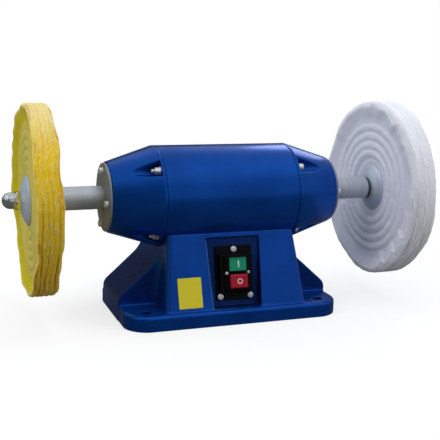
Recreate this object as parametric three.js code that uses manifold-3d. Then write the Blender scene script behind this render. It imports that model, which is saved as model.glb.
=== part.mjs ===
// Bench polishing machine: a motor on a cast stand, with a cloth wheel on each end of its shaft.
// Millimetres. X runs along the shaft towards the white wheel, the switch faces -Y and +Z is up.
// The origin lies on the floor under the middle of the shaft.
import * as THREE from 'three';
import * as BufferGeometryUtils from 'three/addons/utils/BufferGeometryUtils.js';
import Module from 'manifold-3d';

const wasm = await Module();
wasm.setup();

// Facets round a turned piece, and steps in a rounded corner
const wheelFacets = 40;
const largeFacets = 36;
const mediumFacets = 24;
const innerFacets = 16;
const pocketSteps = 6;
const bossSteps = 4;
const smallFacets = 8;
const ballFacets = 6;
const cornerSteps = 3;
const edgeSteps = 2;

// Gaps between pieces, and how far a cut runs past a face
const seatGap = 0.3;
const airGap = 0.5;
const overrun = 2;

// Motor tube
const tubeRadius = 70;
const tubeWall = 4;
const tubeLength = 191.8;

// End bells, the cones that close the tube and hold the bearings
const bellLength = 69;
const bellNoseRadius = 49.5;
const bellFootLand = 3.5;
const bellNoseRound = 2.5;
const bellWall = 5;
const bellNoseDepth = 19;
const spigotLength = 4;
const spigotWall = 3.5;

// Tie bolts that pull the bells onto the tube, and the pockets in the bells for their ends
const tieInset = 8.5;
const tieUpperAngle = THREE.MathUtils.degToRad(42);
const tieLowerAngle = THREE.MathUtils.degToRad(-54);
const tieRadius = 2.5;
const tieFlangeRadius = 5.4;
const tieFlangeHeight = 1.8;
const tieHeadRadius = 4.6;
const tieHeadHeight = 7.2;
const tieHeadEdge = 1;
const tieSlotWidth = 1.3;
const tieSlotDepth = 1.8;
const tieNutWidth = 8.6;
const tieNutHeight = 5.7;
const tieTail = 5;
const pocketFloor = 4;
const pocketRadius = 12;
const pocketTipRadius = 2.6;
const pocketLength = 50;
const pocketWall = 3.5;

// Bearings, 20 by 47 by 14
const shaftRadius = 10;
const bearingRadius = 23.5;
const bearingWidth = 14;
const innerRingWall = 4;
const outerRingWall = 4.2;
const ballRadius = 3.7;
const ballGap = 0.6;
const ballCount = 7;
const bearingThroat = 17;

// Bearing caps on the noses of the bells
const capThickness = 3.2;
const capInset = 2.2;
const capEdge = 0.6;
const capCollarWall = 4;
const capCollarHeight = 0.9;
const capBoreGap = 0.8;
const capScrewCircle = 37;
const capScrewCount = 4;
const capScrewRadius = 3;
const capScrewLength = 13;
const capHeadRadius = 4.7;
const capHeadHeight = 5.6;
const capSocketWidth = 5;
const capSocketDepth = 3;
const rightCapTurn = THREE.MathUtils.degToRad(-3);
const leftCapTurn = THREE.MathUtils.degToRad(-5);

// Rotor and stator
const coreLength = 90;
const statorDepth = 27.2;
const rotorShaftRadius = 13;
const endRingLength = 7;
const endRingInset = 4;
const windingLength = 22;
const windingWall = 14;
const windingGap = 3;

// Spacer sleeves, flanges, wheels and nuts on the shaft
const sleeveRadius = 16;
const sleeveReach = 71;
const flangeRadius = 34;
const flangeDepth = 9.3;
const flangeNoseRadius = 17;
const flangeRim = 1.8;
const flangeLip = 6;
const flangeDish = 1.4;
const wheelRadius = 125;
const hubThickness = 20;
const rimThickness = 33;
const threadRadius = 8;
const threadLength = 16;
const nutWidth = 24;
const nutHexLength = 7;
const nutDomeRadius = 11;
const nutDomeLength = 17.5;
const nutEdge = 1.2;

// Folds of the wheels, as shares of the wheel's radius or thickness
const stitchShares = [0.432, 0.596, 0.76];
const flareStartShare = 0.6;
const quiltDepthShare = 0.035;
const foldStartShare = 0.76;
const foldShare = 0.07;
const rimWaveShare = 0.012;
const rimEdgeShare = 0.93;
const whiteFolds = { many: 8, few: 4, phase: 0.4 };
const yellowFolds = { many: 10, few: 6, phase: 1.1 };

// Cast stand: its foot plate
const plateDepth = 191.2;
const plateHeight = 21.3;
const plateCorner = 34;
const plateEdge = 5;
const castWall = 6;
const footHoleRadius = 6.5;
const footInsetX = 29.35;
const footInsetY = 21.6;
const footBossRadius = 12;

// Cast stand: the block under the motor, wider at its foot
const blockTopInset = 2.9;
const blockEndLand = 53.35;
const blockEdgeLand = 6.6;
const blockEndLean = 10;
const blockFrontLean = 31;
const blockCorner = 7;
const blockCrown = 4;
const blockRoof = 13;
const saddleRise = 48.5;

// Cast stand: the sloping wing at each end of the block
const wingFrontLand = 58.6;
const wingBackLand = 33.6;
const wingToeHeight = 33;
const wingSlope = THREE.MathUtils.degToRad(41.8);
const wingToeRound = 5;
const wingFillet = 12;

// Recess in the front of the block for the switch, in the plane of its floor
const panelTilt = THREE.MathUtils.degToRad(11.3);
const recessSink = 13.5;
const recessFloorZ = 22;
const recessFootGap = 7.5;
const recessHeadGap = 12;
const recessTopLand = 3.84;
const recessFootWidth = 69;
const recessTopWidth = 77;
const recessCorner = 3;
const recessDraft = 1.5;
const recessReach = 40;
const recessWall = 5;

// Switch casing in the recess
const casingWidth = 54;
const casingHeight = 75.5;
const casingCorner = 2;
const casingFlange = 3;
const casingBoxWidth = 49;
const casingBoxHeight = 54;
const casingBoxLift = 0.8;
const casingBoxRise = 9.5;
const casingBoxDraft = 0.8;
const casingWall = 2.5;
const casingScrewRadius = 2;
const casingScrewLength = 7;
const casingHeadRadius = 4.2;
const casingHeadHeight = 2.4;
const casingScrewInset = 5;

// Switch with its two push buttons
const switchWidth = 36;
const switchHeight = 48;
const switchLift = 0.8;
const switchCorner = 1.5;
const switchBezel = 2.6;
const collarWidth = 29.6;
const collarHeight = 22.3;
const collarRise = 2.4;
const switchBodyWidth = 27;
const switchBodyHeight = 45;
const switchBodyDepth = 38;
const switchScrewRadius = 1.3;
const switchScrewLength = 6;
const switchHeadRadius = 2.2;
const switchHeadHeight = 1.8;
const buttonWidth = 23.4;
const buttonHeight = 18.4;
const buttonSpacing = 23.4;
const buttonCorner = 1.2;
const buttonSink = 9;
const onButtonEdge = 0.8;
const onButtonRise = 1;
const offButtonEdge = 2.4;
const offButtonRise = 4.6;
const buttonTravel = 3;
const buttonGap = 0.35;

// Bottom cover and its screws
const coverThickness = 1.5;
const coverRecess = 4;
const coverGap = 0.8;
const coverScrewInsetX = 44.35;
const coverScrewInsetY = 31.6;
const coverBossRadius = 5;
const coverScrewRadius = 2;
const coverScrewLength = 9;
const coverHeadRadius = 3.8;
const coverHeadHeight = 2.3;

// Bolts from the stand up into the motor tube
const saddleBoltInset = 20.9;
const saddleBoltRadius = 4;
const saddleHeadWidth = 13;
const saddleHeadHeight = 5.3;

// Run capacitor, clamped to the bottom cover
const capacitorRadius = 17.5;
const capacitorLength = 68;
const capacitorX = -35;
const capacitorY = 30;
const capacitorEdge = 2;
const clampThickness = 1.5;
const clampWidth = 14;
const clampFoot = 11;

// Cable gland in the back of the block
const glandInset = 41;
const glandHeight = 48;
const glandHexWidth = 22;
const glandHexLength = 5;
const glandNoseRadius = 9;
const glandNoseLength = 9;
const glandShankRadius = 8;
const glandBossRadius = 14;
const glandBossDepth = 13;
const glandShankLength = 16;
const glandBoreRadius = 4;

// Places along the shaft, from the middle of the motor outwards
const tubeEnd = tubeLength / 2;
const bellFoot = tubeEnd + seatGap;
const bellNose = bellFoot + bellLength;
const bearingOuterFace = bellNose - seatGap;
const bearingInnerFace = bearingOuterFace - bearingWidth;
const capStart = bellNose + seatGap;
const capFace = capStart + capThickness;
const sleeveStart = bearingOuterFace + seatGap;
const sleeveEnd = capFace + sleeveReach;
const innerFlangeStart = sleeveEnd + seatGap;
const hubStart = innerFlangeStart + flangeDepth + seatGap;
const outerFlangeStart = hubStart + hubThickness + seatGap;
const nutStart = outerFlangeStart + flangeDepth + seatGap;
const coverTop = coverRecess + coverThickness;

// Radii inside the motor tube
const tieCircleRadius = tubeRadius - tieInset;
const statorRadius = tubeRadius - tubeWall - seatGap;
const rotorRadius = statorRadius - statorDepth - airGap;
const endRingRadius = rotorRadius - endRingInset;
const windingInner = rotorRadius + windingGap;

// Heights up the front, from the casing in its recess to the top of the block and the shaft
const recessHeight = recessFootGap + casingHeight + recessHeadGap;
const casingCentre = recessFootGap + casingHeight / 2;
const casingBoxCentre = casingCentre + casingBoxLift;
const switchCentre = casingCentre + switchLift;
const blockHeight = recessFloorZ + recessHeight * Math.cos(panelTilt) + recessTopLand;
const hollowHeight = blockHeight - blockRoof;
const shaftHeight = blockHeight + saddleRise;

// Top and foot of the block, a little shorter than the tube that it carries, and the plate beyond it
const blockTopWidth = tubeLength - 2 * blockTopInset;
const blockFootWidth = blockTopWidth + 2 * blockEndLean;
const blockFootDepth = plateDepth - 2 * blockEdgeLand;
const blockTopDepth = blockFootDepth - 2 * blockFrontLean;
const plateLength = blockFootWidth + 2 * blockEndLand;
const recessFloorY = recessSink - blockFootDepth / 2;
const wingFront = plateDepth / 2 - wingFrontLand;
const wingBack = plateDepth / 2 - wingBackLand;

const paint = { color: 0x123a86, roughness: 0.35, metalness: 0.0 };
const zinc = { color: 0xc9cdd2, roughness: 0.3, metalness: 1.0 };
const satinSteel = { color: 0x9aa0a6, roughness: 0.45, metalness: 1.0 };
const chrome = { color: 0xe6e8ea, roughness: 0.12, metalness: 1.0 };
const capGrey = { color: 0xa8aaa8, roughness: 0.5, metalness: 0.6 };
const coreSteel = { color: 0x6d7073, roughness: 0.6, metalness: 0.9 };
const copper = { color: 0xb06a35, roughness: 0.45, metalness: 0.8 };
const blackPlastic = { color: 0x101012, roughness: 0.45, metalness: 0.0 };
const greenPlastic = { color: 0x1f8a5c, roughness: 0.35, metalness: 0.0 };
const redPlastic = { color: 0xb0122a, roughness: 0.3, metalness: 0.0 };
const whiteCloth = { color: 0xc9c8d2, roughness: 0.95, metalness: 0.0 };
const yellowCloth = { color: 0xc9a83a, roughness: 0.95, metalness: 0.0 };
const darkSheet = { color: 0x2b2d30, roughness: 0.6, metalness: 0.5 };
const creamPlastic = { color: 0xd8d4c6, roughness: 0.5, metalness: 0.0 };

// Makes a boolean solid of a closed geometry, with doubled points merged and faces pointing out
function solidOf(geometry) {
  const bare = new THREE.BufferGeometry();
  bare.setAttribute('position', geometry.getAttribute('position'));
  bare.setIndex(geometry.index);
  const merged = BufferGeometryUtils.mergeVertices(bare);
  const points = merged.getAttribute('position');
  const corners = merged.index.array;
  const kept = [];
  const [a, b, c] = [new THREE.Vector3(), new THREE.Vector3(), new THREE.Vector3()];
  let volume = 0;
  for (let i = 0; i < corners.length; i += 3) {
    const [p, q, r] = [corners[i], corners[i + 1], corners[i + 2]];
    if (p === q || q === r || r === p) continue;
    kept.push(p, q, r);
    a.fromBufferAttribute(points, p);
    b.fromBufferAttribute(points, q);
    c.fromBufferAttribute(points, r);
    volume += a.dot(b.cross(c));
  }
  if (volume < 0) kept.reverse();
  return new wasm.Manifold(new wasm.Mesh({
    numProp: 3,
    vertProperties: new Float32Array(points.array),
    triVerts: new Uint32Array(kept),
  }));
}

// Gives a solid back as a geometry for a mesh
function geometryOf(solid) {
  const { vertProperties, triVerts } = solid.getMesh();
  const geometry = new THREE.BufferGeometry();
  geometry.setAttribute('position', new THREE.BufferAttribute(new Float32Array(vertProperties), 3));
  geometry.setIndex(new THREE.BufferAttribute(new Uint32Array(triVerts), 1));
  geometry.computeVertexNormals();
  return geometry;
}

// Adds a named piece to a group
function piece(group, name, solid, finish) {
  const mesh = new THREE.Mesh(geometryOf(solid), new THREE.MeshStandardMaterial(finish));
  mesh.name = name;
  group.add(mesh);
  return mesh;
}

// Moves a solid by way of a matrix
function moved(solid, matrix) {
  return solidOf(geometryOf(solid).applyMatrix4(matrix));
}

function shifted(solid, x, y, z) {
  return moved(solid, new THREE.Matrix4().makeTranslation(x, y, z));
}

// Joins a list of solids
function joined(solids) {
  return solids.reduce((whole, next) => whole.add(next));
}

// Turns a profile of [place along the axis, radius] points about the X axis
function turned(profile, facets) {
  const points = profile.map(([along, radius]) => new THREE.Vector2(radius, along));
  return solidOf(new THREE.LatheGeometry(points, facets).rotateZ(-Math.PI / 2));
}

// A round bar along X
function bar(radius, from, to, facets) {
  return turned([[from, 0], [from, radius], [to, radius], [to, 0]], facets);
}

// A round bar along Z
function post(radius, from, to, facets) {
  return moved(bar(radius, from, to, facets), new THREE.Matrix4().makeRotationY(-Math.PI / 2));
}

// A ring about X with a plain bore
function ring(inner, outer, from, to, facets) {
  return turned([[from, inner], [from, outer], [to, outer], [to, inner], [from, inner]], facets);
}

// Counterclockwise outline of a polygon whose corners [x, y, radius] are rounded by arcs of equal steps
function rounded(corners, steps = cornerSteps) {
  const outline = [];
  corners.forEach(([x, y, radius], i) => {
    const corner = new THREE.Vector2(x, y);
    const [beforeX, beforeY] = corners[(i + corners.length - 1) % corners.length];
    const [afterX, afterY] = corners[(i + 1) % corners.length];
    const before = new THREE.Vector2(beforeX, beforeY).sub(corner).normalize();
    const after = new THREE.Vector2(afterX, afterY).sub(corner).normalize();
    const halfAngle = Math.acos(THREE.MathUtils.clamp(before.dot(after), -1, 1)) / 2;
    if (!radius) {
      outline.push(corner);
      return;
    }
    const middle = before.clone().add(after).normalize();
    const centre = corner.clone().addScaledVector(middle, radius / Math.sin(halfAngle));
    const start = corner.clone().addScaledVector(before, radius / Math.tan(halfAngle)).sub(centre);
    const turn = Math.sign(before.cross(after)) * (Math.PI - 2 * halfAngle);
    for (let step = 0; step <= steps; step += 1) {
      const spoke = start.clone().rotateAround(new THREE.Vector2(), (-turn * step) / steps);
      outline.push(spoke.add(centre));
    }
  });
  return THREE.ShapeUtils.isClockWise(outline) ? outline.reverse() : outline;
}

// Outline of a rectangle about the origin with rounded corners
function roundedRectangle(width, height, radius, steps = cornerSteps) {
  const [x, y] = [width / 2, height / 2];
  return rounded([[x, -y, radius], [x, y, radius], [-x, y, radius], [-x, -y, radius]], steps);
}

// Regular hexagon about the origin, measured across its flats
function hexagon(width) {
  const radius = width / Math.sqrt(3);
  return Array.from({ length: 6 }, (_, i) => new THREE.Vector2(
    radius * Math.cos((i * Math.PI) / 3), radius * Math.sin((i * Math.PI) / 3)));
}

// Skins a stack of outlines with as many points each: every layer is [outline, height, shift in y]
function lofted(layers) {
  const count = layers[0][0].length;
  const places = layers.flatMap(([outline, z, shift = 0]) => outline.flatMap((p) => [p.x, p.y + shift, z]));
  const faces = [];
  for (let layer = 0; layer + 1 < layers.length; layer += 1) {
    for (let i = 0; i < count; i += 1) {
      const next = (i + 1) % count;
      const [low, high] = [layer * count, (layer + 1) * count];
      faces.push(low + i, low + next, high + i, low + next, high + next, high + i);
    }
  }
  const top = (layers.length - 1) * count;
  THREE.ShapeUtils.triangulateShape(layers[0][0], []).forEach(([a, b, c]) => faces.push(c, b, a));
  THREE.ShapeUtils.triangulateShape(layers.at(-1)[0], []).forEach(([a, b, c]) => (
    faces.push(top + a, top + b, top + c)));
  const geometry = new THREE.BufferGeometry();
  geometry.setAttribute('position', new THREE.Float32BufferAttribute(places, 3));
  geometry.setIndex(faces);
  return solidOf(geometry);
}

// A prism of an outline between two heights
function prism(outline, from, to) {
  return lofted([[outline, from], [outline, to]]);
}

// Lays a solid that stands along Z down along X
const alongX = new THREE.Matrix4().makeRotationY(Math.PI / 2);

// Places a solid in the plane of the recess floor: y up the slope, z out of it
const panelFrame = new THREE.Matrix4()
  .makeTranslation(0, recessFloorY, recessFloorZ)
  .multiply(new THREE.Matrix4().makeRotationX(Math.PI / 2 - panelTilt));

// Half width or depth of the block at a height
function blockHalf(foot, top, height) {
  return THREE.MathUtils.mapLinear(height, plateHeight, blockHeight, foot, top) / 2;
}

// Foot plate with round corners and a rounded top edge, made smaller by an inset
function footPlate(inset, from, steps) {
  const layer = (shrink) => roundedRectangle(
    plateLength - 2 * shrink, plateDepth - 2 * shrink, plateCorner - shrink);
  const layers = [[layer(inset), from]];
  for (let step = 0; step <= steps; step += 1) {
    const angle = (step / steps) * (Math.PI / 2);
    const shrink = inset + plateEdge * (1 - Math.cos(angle));
    layers.push([layer(shrink), plateHeight - inset - plateEdge * (1 - Math.sin(angle))]);
  }
  return lofted(layers);
}

// Block under the motor, leaning in on all four sides, with a rounded crown that runs into the tube
function motorBlock(inset, from, height, crown) {
  const layer = (z, shrink) => [roundedRectangle(
    2 * (blockHalf(blockFootWidth, blockTopWidth, z) - shrink),
    2 * (blockHalf(blockFootDepth, blockTopDepth, z) - shrink), blockCorner), z];
  const layers = [layer(from, inset), layer(height, inset)];
  if (crown) layers.push(layer(height + crown, inset + crown / 2));
  return lofted(layers);
}

// Wing at one end of the block: its plan, with fillets into the block, cut off along the slope
function wing(side, inset, from) {
  const root = blockTopWidth / 2 - castWall;
  const shoulder = blockFootWidth / 2 - inset;
  const toe = plateLength / 2 - inset;
  const [front, back] = [-wingFront + inset, wingBack - inset];
  const rise = (toe - root) * Math.tan(wingSlope);
  const toeHeight = wingToeHeight - inset;
  const plan = prism(rounded([
    [side * root, front - wingFillet, 0], [side * shoulder, front - wingFillet, 0],
    [side * shoulder, front, wingFillet], [side * toe, front, 0], [side * toe, back, 0],
    [side * shoulder, back, wingFillet], [side * shoulder, back + wingFillet, 0],
    [side * root, back + wingFillet, 0],
  ]), from, toeHeight + rise);
  const elevation = prism(rounded([
    [side * root, from - overrun, 0], [side * toe, from - overrun, 0],
    [side * toe, toeHeight, wingToeRound], [side * root, toeHeight + rise, 0],
  ]), wingFront + wingFillet, -wingBack - wingFillet);
  return plan.intersect(moved(elevation, new THREE.Matrix4().makeRotationX(Math.PI / 2)));
}

// The four corners of a rectangle of holes
function cornersOf(x, y) {
  return [[-x, -y], [x, -y], [x, y], [-x, y]];
}

// Round bars along Z at several places, for bosses and holes
function postsAt(places, radius, from, to) {
  return places.map(([x, y]) => shifted(post(radius, from, to, smallFacets), x, y, 0));
}

// An outline moved along its own y
function raised(outline, y) {
  return outline.map((p) => new THREE.Vector2(p.x, p.y + y));
}

// A cylinder about the shaft line
function shaftLineBar(radius, halfLength) {
  return shifted(bar(radius, -halfLength, halfLength, largeFacets), 0, 0, shaftHeight);
}

// Opening in the recess floor that the back of the switch goes through
function switchHole(gap) {
  const outline = roundedRectangle(switchBodyWidth + 2 * gap, switchBodyHeight + 2 * gap, switchCorner);
  return prism(raised(outline, switchCentre), -switchBodyDepth, casingFlange + casingBoxRise + overrun);
}

// Recess in the front face, with its side walls drawn straight out of the block
function recess() {
  const outline = (widen) => rounded([
    [recessFootWidth / 2 + widen, -widen, recessCorner],
    [recessTopWidth / 2 + widen, recessHeight + widen, recessCorner],
    [-recessTopWidth / 2 - widen, recessHeight + widen, recessCorner],
    [-recessFootWidth / 2 - widen, -widen, recessCorner],
  ], edgeSteps);
  return lofted([
    [outline(0), 0],
    [outline(recessDraft), recessReach * Math.cos(panelTilt), -recessReach * Math.sin(panelTilt)],
  ]);
}

// Wall of metal kept behind the recess floor inside the hollow stand
function recessBacking() {
  const [width, height] = [recessTopWidth + 2 * recessWall, recessHeight + 2 * recessWall];
  const outline = raised(roundedRectangle(width, height, recessCorner), recessHeight / 2);
  return prism(outline, -recessWall, recessReach);
}

// Places of the three casing screws in the plane of the recess floor, halfway from the box to the rim
const casingTopScrewY = (casingCentre + casingBoxCentre) / 2 + (casingHeight + casingBoxHeight) / 4;
const casingFootScrewY = (casingCentre + casingBoxCentre) / 2 - (casingHeight + casingBoxHeight) / 4;
const casingFootScrewX = casingWidth / 2 - casingScrewInset;
const casingScrewPlaces = [
  [0, casingTopScrewY], [-casingFootScrewX, casingFootScrewY], [casingFootScrewX, casingFootScrewY],
];

// The two switch screws stand halfway between the switch body and the edge of its bezel
const switchScrewX = (switchWidth + switchBodyWidth) / 4;
const switchScrewPlaces = [[-switchScrewX, switchCentre], [switchScrewX, switchCentre]];

// Frame of the flat boss for the cable gland on the back of the block, level with the foot of its rim
const glandX = blockFootWidth / 2 - glandInset;
const glandY = blockHalf(blockFootDepth, blockTopDepth, glandHeight - glandBossRadius);
const glandFrame = new THREE.Matrix4()
  .makeTranslation(glandX, glandY, glandHeight)
  .multiply(new THREE.Matrix4().makeRotationX(-Math.PI / 2));

// Places of the bolts through the foot plate, of the cover screws and of the saddle bolts
const footHoles = cornersOf(plateLength / 2 - footInsetX, plateDepth / 2 - footInsetY);
const coverScrewPlaces = cornersOf(plateLength / 2 - coverScrewInsetX, plateDepth / 2 - coverScrewInsetY);
const saddleBoltX = tubeEnd - saddleBoltInset;
const saddleBoltPlaces = [[-saddleBoltX, 0], [saddleBoltX, 0]];

// Flat round boss that the cable gland sits on
function glandBoss() {
  return moved(post(glandBossRadius, -glandBossDepth, 0, innerFacets), glandFrame);
}

// Hollow cast stand with its saddle for the motor tube
function baseCasting() {
  const outside = joined([
    footPlate(0, 0, edgeSteps),
    motorBlock(0, plateHeight - castWall, blockHeight, blockCrown),
    wing(1, 0, 0),
    wing(-1, 0, 0),
    glandBoss(),
  ]);
  const kept = joined([
    shaftLineBar(tubeRadius + seatGap + castWall, tubeLength),
    moved(recessBacking(), panelFrame),
    glandBoss(),
    ...postsAt(footHoles, footBossRadius, -overrun, plateHeight),
    ...postsAt(coverScrewPlaces, coverBossRadius, coverTop + seatGap, plateHeight),
  ]);
  const hollow = joined([
    footPlate(castWall, -overrun, 1),
    motorBlock(castWall, 0, hollowHeight, 0),
    wing(1, castWall, -overrun),
    wing(-1, castWall, -overrun),
  ]).subtract(kept);
  const cuts = joined([
    hollow,
    shaftLineBar(tubeRadius + seatGap, tubeLength),
    moved(recess(), panelFrame),
    moved(switchHole(seatGap), panelFrame),
    ...postsAt(casingScrewPlaces, casingScrewRadius + seatGap, -casingScrewLength, overrun)
      .map((hole) => moved(hole, panelFrame)),
    ...postsAt(footHoles, footHoleRadius, -overrun, plateHeight + overrun),
    ...postsAt(coverScrewPlaces, coverScrewRadius + seatGap, 0, coverRecess + coverScrewLength),
    ...postsAt(saddleBoltPlaces, saddleBoltRadius + seatGap, hollowHeight - tubeRadius, shaftHeight),
    moved(post(glandShankRadius + seatGap, -glandShankLength, overrun, innerFacets), glandFrame),
  ]);
  return outside.subtract(cuts);
}

// Places of the tie bolts round the shaft, as turns about X from +Y
const tieAngles = [tieUpperAngle, Math.PI - tieUpperAngle, tieLowerAngle, Math.PI - tieLowerAngle];

// Repeats a solid at the tie bolts
function atTies(solid) {
  return tieAngles.map((angle) => shifted(
    solid, 0, tieCircleRadius * Math.cos(angle), tieCircleRadius * Math.sin(angle)));
}

// Scooped pockets of the tie bolts: round at the bottom, open outwards and narrower towards the nose.
// Grown by a wall they are the metal round the pockets.
function pockets(grow, from, steps) {
  const start = bellFoot + pocketFloor;
  const end = start + pocketLength;
  const scoop = (x) => {
    const radius = THREE.MathUtils.mapLinear(x, start, end, pocketRadius, pocketTipRadius) + grow;
    const round = Array.from({ length: steps + 1 }, (_, i) => {
      const angle = Math.PI + (i * Math.PI) / steps;
      return new THREE.Vector2(radius * Math.cos(angle), tieCircleRadius + radius * Math.sin(angle));
    });
    const mouth = tubeRadius + overrun;
    return [...round, new THREE.Vector2(radius, mouth), new THREE.Vector2(-radius, mouth)];
  };
  const pocket = moved(lofted([[scoop(from), from], [scoop(end), end]]), alongX);
  return tieAngles.map((angle) => moved(pocket, new THREE.Matrix4().makeRotationX(angle)));
}

// End bell: a cone with a spigot into the tube, four bolt pockets and the seat of a bearing
function endBell() {
  const nose = bellNose - bellNoseRound;
  const outside = turned([
    [tubeEnd - spigotLength, 0], [tubeEnd - spigotLength, tubeRadius - tubeWall - seatGap],
    [bellFoot, tubeRadius - tubeWall - seatGap], [bellFoot, tubeRadius],
    [bellFoot + bellFootLand, tubeRadius], [nose, bellNoseRadius],
    [bellNose, bellNoseRadius - bellNoseRound], [bellNose, 0],
  ], largeFacets);
  const spigotBore = tubeRadius - tubeWall - seatGap - spigotWall;
  const cavityEnd = bellNose - bellNoseDepth;
  const slope = (tubeRadius - bellNoseRadius) / (nose - bellFoot - bellFootLand);
  const innerRadius = (x) => tubeRadius - bellWall - slope * (x - bellFoot - bellFootLand);
  const cavity = turned([
    [tubeEnd - spigotLength - overrun, 0], [tubeEnd - spigotLength - overrun, spigotBore],
    [bellFoot + bellFootLand, spigotBore], [cavityEnd, innerRadius(cavityEnd)], [cavityEnd, 0],
  ], mediumFacets);
  const bosses = joined(pockets(pocketWall, tubeEnd - spigotLength, bossSteps));
  const cuts = joined([
    cavity.subtract(bosses),
    ...pockets(0, bellFoot + pocketFloor, pocketSteps),
    ...atTies(bar(tieRadius + seatGap, tubeEnd - spigotLength - overrun,
      bellFoot + pocketFloor + overrun, smallFacets)),
    bar(bearingRadius + seatGap, bearingInnerFace - seatGap, bellNose + overrun, innerFacets),
    bar(bearingThroat, cavityEnd - overrun, bellNose, innerFacets),
  ]);
  return outside.subtract(cuts);
}

// Cuts the blind holes of the cap screws into a bell, at the turn of its cap
function withCapHoles(bell, turn) {
  const hole = bar(capScrewRadius + seatGap, capStart - capScrewLength, bellNose + overrun, smallFacets);
  return bell.subtract(joined(capScrewPlaces(turn).map(([y, z]) => shifted(hole, 0, y, z))));
}

function capScrewPlaces(turn) {
  return Array.from({ length: capScrewCount }, (_, i) => {
    const angle = turn + (i * 2 * Math.PI) / capScrewCount;
    return [capScrewCircle * Math.cos(angle), capScrewCircle * Math.sin(angle)];
  });
}

// Round cap plate over the bearing, with a low collar round the sleeve
function bearingCap(turn) {
  const radius = bellNoseRadius - capInset;
  const bore = sleeveRadius + capBoreGap;
  const plate = turned([
    [capStart, bore], [capStart, radius], [capFace - capEdge, radius], [capFace, radius - capEdge],
    [capFace, bore + capCollarWall], [capFace + capCollarHeight, bore + capCollarWall - capEdge],
    [capFace + capCollarHeight, bore], [capStart, bore],
  ], mediumFacets);
  const hole = bar(capScrewRadius + seatGap, capStart - overrun, capFace + overrun, smallFacets);
  return plate.subtract(joined(capScrewPlaces(turn).map(([y, z]) => shifted(hole, 0, y, z))));
}

// Socket head screw along X, its head resting on the cap plate
function capScrew() {
  const seat = capFace + seatGap;
  const top = seat + capHeadHeight;
  const body = turned([
    [capStart + seatGap - capScrewLength, 0], [capStart + seatGap - capScrewLength, capScrewRadius],
    [seat, capScrewRadius], [seat, capHeadRadius], [top, capHeadRadius], [top, 0],
  ], smallFacets);
  const socket = moved(prism(hexagon(capSocketWidth), top - capSocketDepth, top + overrun), alongX);
  return body.subtract(socket);
}

// Slotted pan head screw, its head standing on z = 0 with the shank below
function panScrew(shankRadius, shankLength, headRadius, headHeight) {
  const body = turned([
    [-shankLength, 0], [-shankLength, shankRadius], [0, shankRadius], [0, headRadius],
    [headHeight / 2, headRadius], [headHeight, headRadius / 2], [headHeight, 0],
  ], smallFacets);
  const slot = prism(roundedRectangle(headRadius, shankRadius / 2, 0), headHeight / 2, headHeight + overrun);
  return moved(body, new THREE.Matrix4().makeRotationY(-Math.PI / 2)).subtract(slot);
}

// Tie bolt along X from its tail past the nut in the left bell to its flanged head in the right bell
function tieBolt() {
  const seat = bellFoot + pocketFloor + seatGap;
  const tail = -(seat + tieFlangeHeight + tieNutHeight + tieTail);
  const flangeTop = seat + tieFlangeHeight;
  const headTop = flangeTop + tieHeadHeight;
  const body = turned([
    [tail, 0], [tail, tieRadius], [seat, tieRadius], [seat, tieFlangeRadius],
    [flangeTop, tieFlangeRadius], [flangeTop, tieHeadRadius], [headTop - tieHeadEdge, tieHeadRadius],
    [headTop, tieHeadRadius - tieHeadEdge], [headTop, 0],
  ], smallFacets);
  const slot = prism(roundedRectangle(tieSlotWidth, 2 * tieHeadRadius + overrun, 0),
    headTop - tieSlotDepth, headTop + overrun);
  return body.subtract(moved(slot, alongX));
}

// Flanged hexagon nut near the tail of a tie bolt
function tieNut() {
  const seat = -(bellFoot + pocketFloor + seatGap);
  const flangeTop = seat - tieFlangeHeight;
  const top = flangeTop - tieNutHeight;
  const nut = moved(prism(hexagon(tieNutWidth), top, flangeTop + tieFlangeHeight / 2), alongX)
    .add(bar(tieFlangeRadius, flangeTop, seat, smallFacets));
  return nut.subtract(bar(tieRadius + seatGap, top - overrun, seat + overrun, smallFacets));
}

// Outer ring of a bearing, with the groove that its balls run in
function bearingOuterRing() {
  const bore = bearingRadius - outerRingWall;
  const middle = bearingInnerFace + bearingWidth / 2;
  const pitch = (bearingRadius - outerRingWall + shaftRadius + innerRingWall) / 2;
  const reach = ballRadius + ballGap;
  const half = Math.acos((bore - pitch) / reach);
  const groove = Array.from({ length: cornerSteps + 1 }, (_, i) => {
    const angle = half - (2 * half * i) / cornerSteps;
    return [middle + reach * Math.sin(angle), pitch + reach * Math.cos(angle)];
  });
  return turned([
    [bearingInnerFace, bore], [bearingInnerFace, bearingRadius], [bearingOuterFace, bearingRadius],
    [bearingOuterFace, bore], ...groove, [bearingInnerFace, bore],
  ], innerFacets);
}

// Inner ring of a bearing with its balls
function bearingInnerRing() {
  const pitch = (bearingRadius - outerRingWall + shaftRadius + innerRingWall) / 2;
  const middle = bearingInnerFace + bearingWidth / 2;
  const ball = solidOf(new THREE.SphereGeometry(ballRadius, ballFacets, ballFacets / 2));
  const balls = Array.from({ length: ballCount }, (_, i) => {
    const angle = (i * 2 * Math.PI) / ballCount;
    return shifted(ball, middle, pitch * Math.cos(angle), pitch * Math.sin(angle));
  });
  const inner = ring(shaftRadius + seatGap, shaftRadius + innerRingWall,
    bearingInnerFace, bearingOuterFace, innerFacets);
  return joined([inner, ...balls]);
}

// Shaft with a thick middle for the rotor, two journals and threaded ends
function spindleShaft() {
  const shoulder = bearingInnerFace - seatGap;
  const threadStart = nutStart - seatGap;
  const end = nutStart + threadLength;
  const half = [[shoulder, rotorShaftRadius], [shoulder, shaftRadius], [threadStart, shaftRadius],
    [threadStart, threadRadius], [end, threadRadius], [end, 0]];
  const other = half.map(([x, r]) => [-x, r]).reverse();
  return turned([...other, ...half], innerFacets);
}

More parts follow.
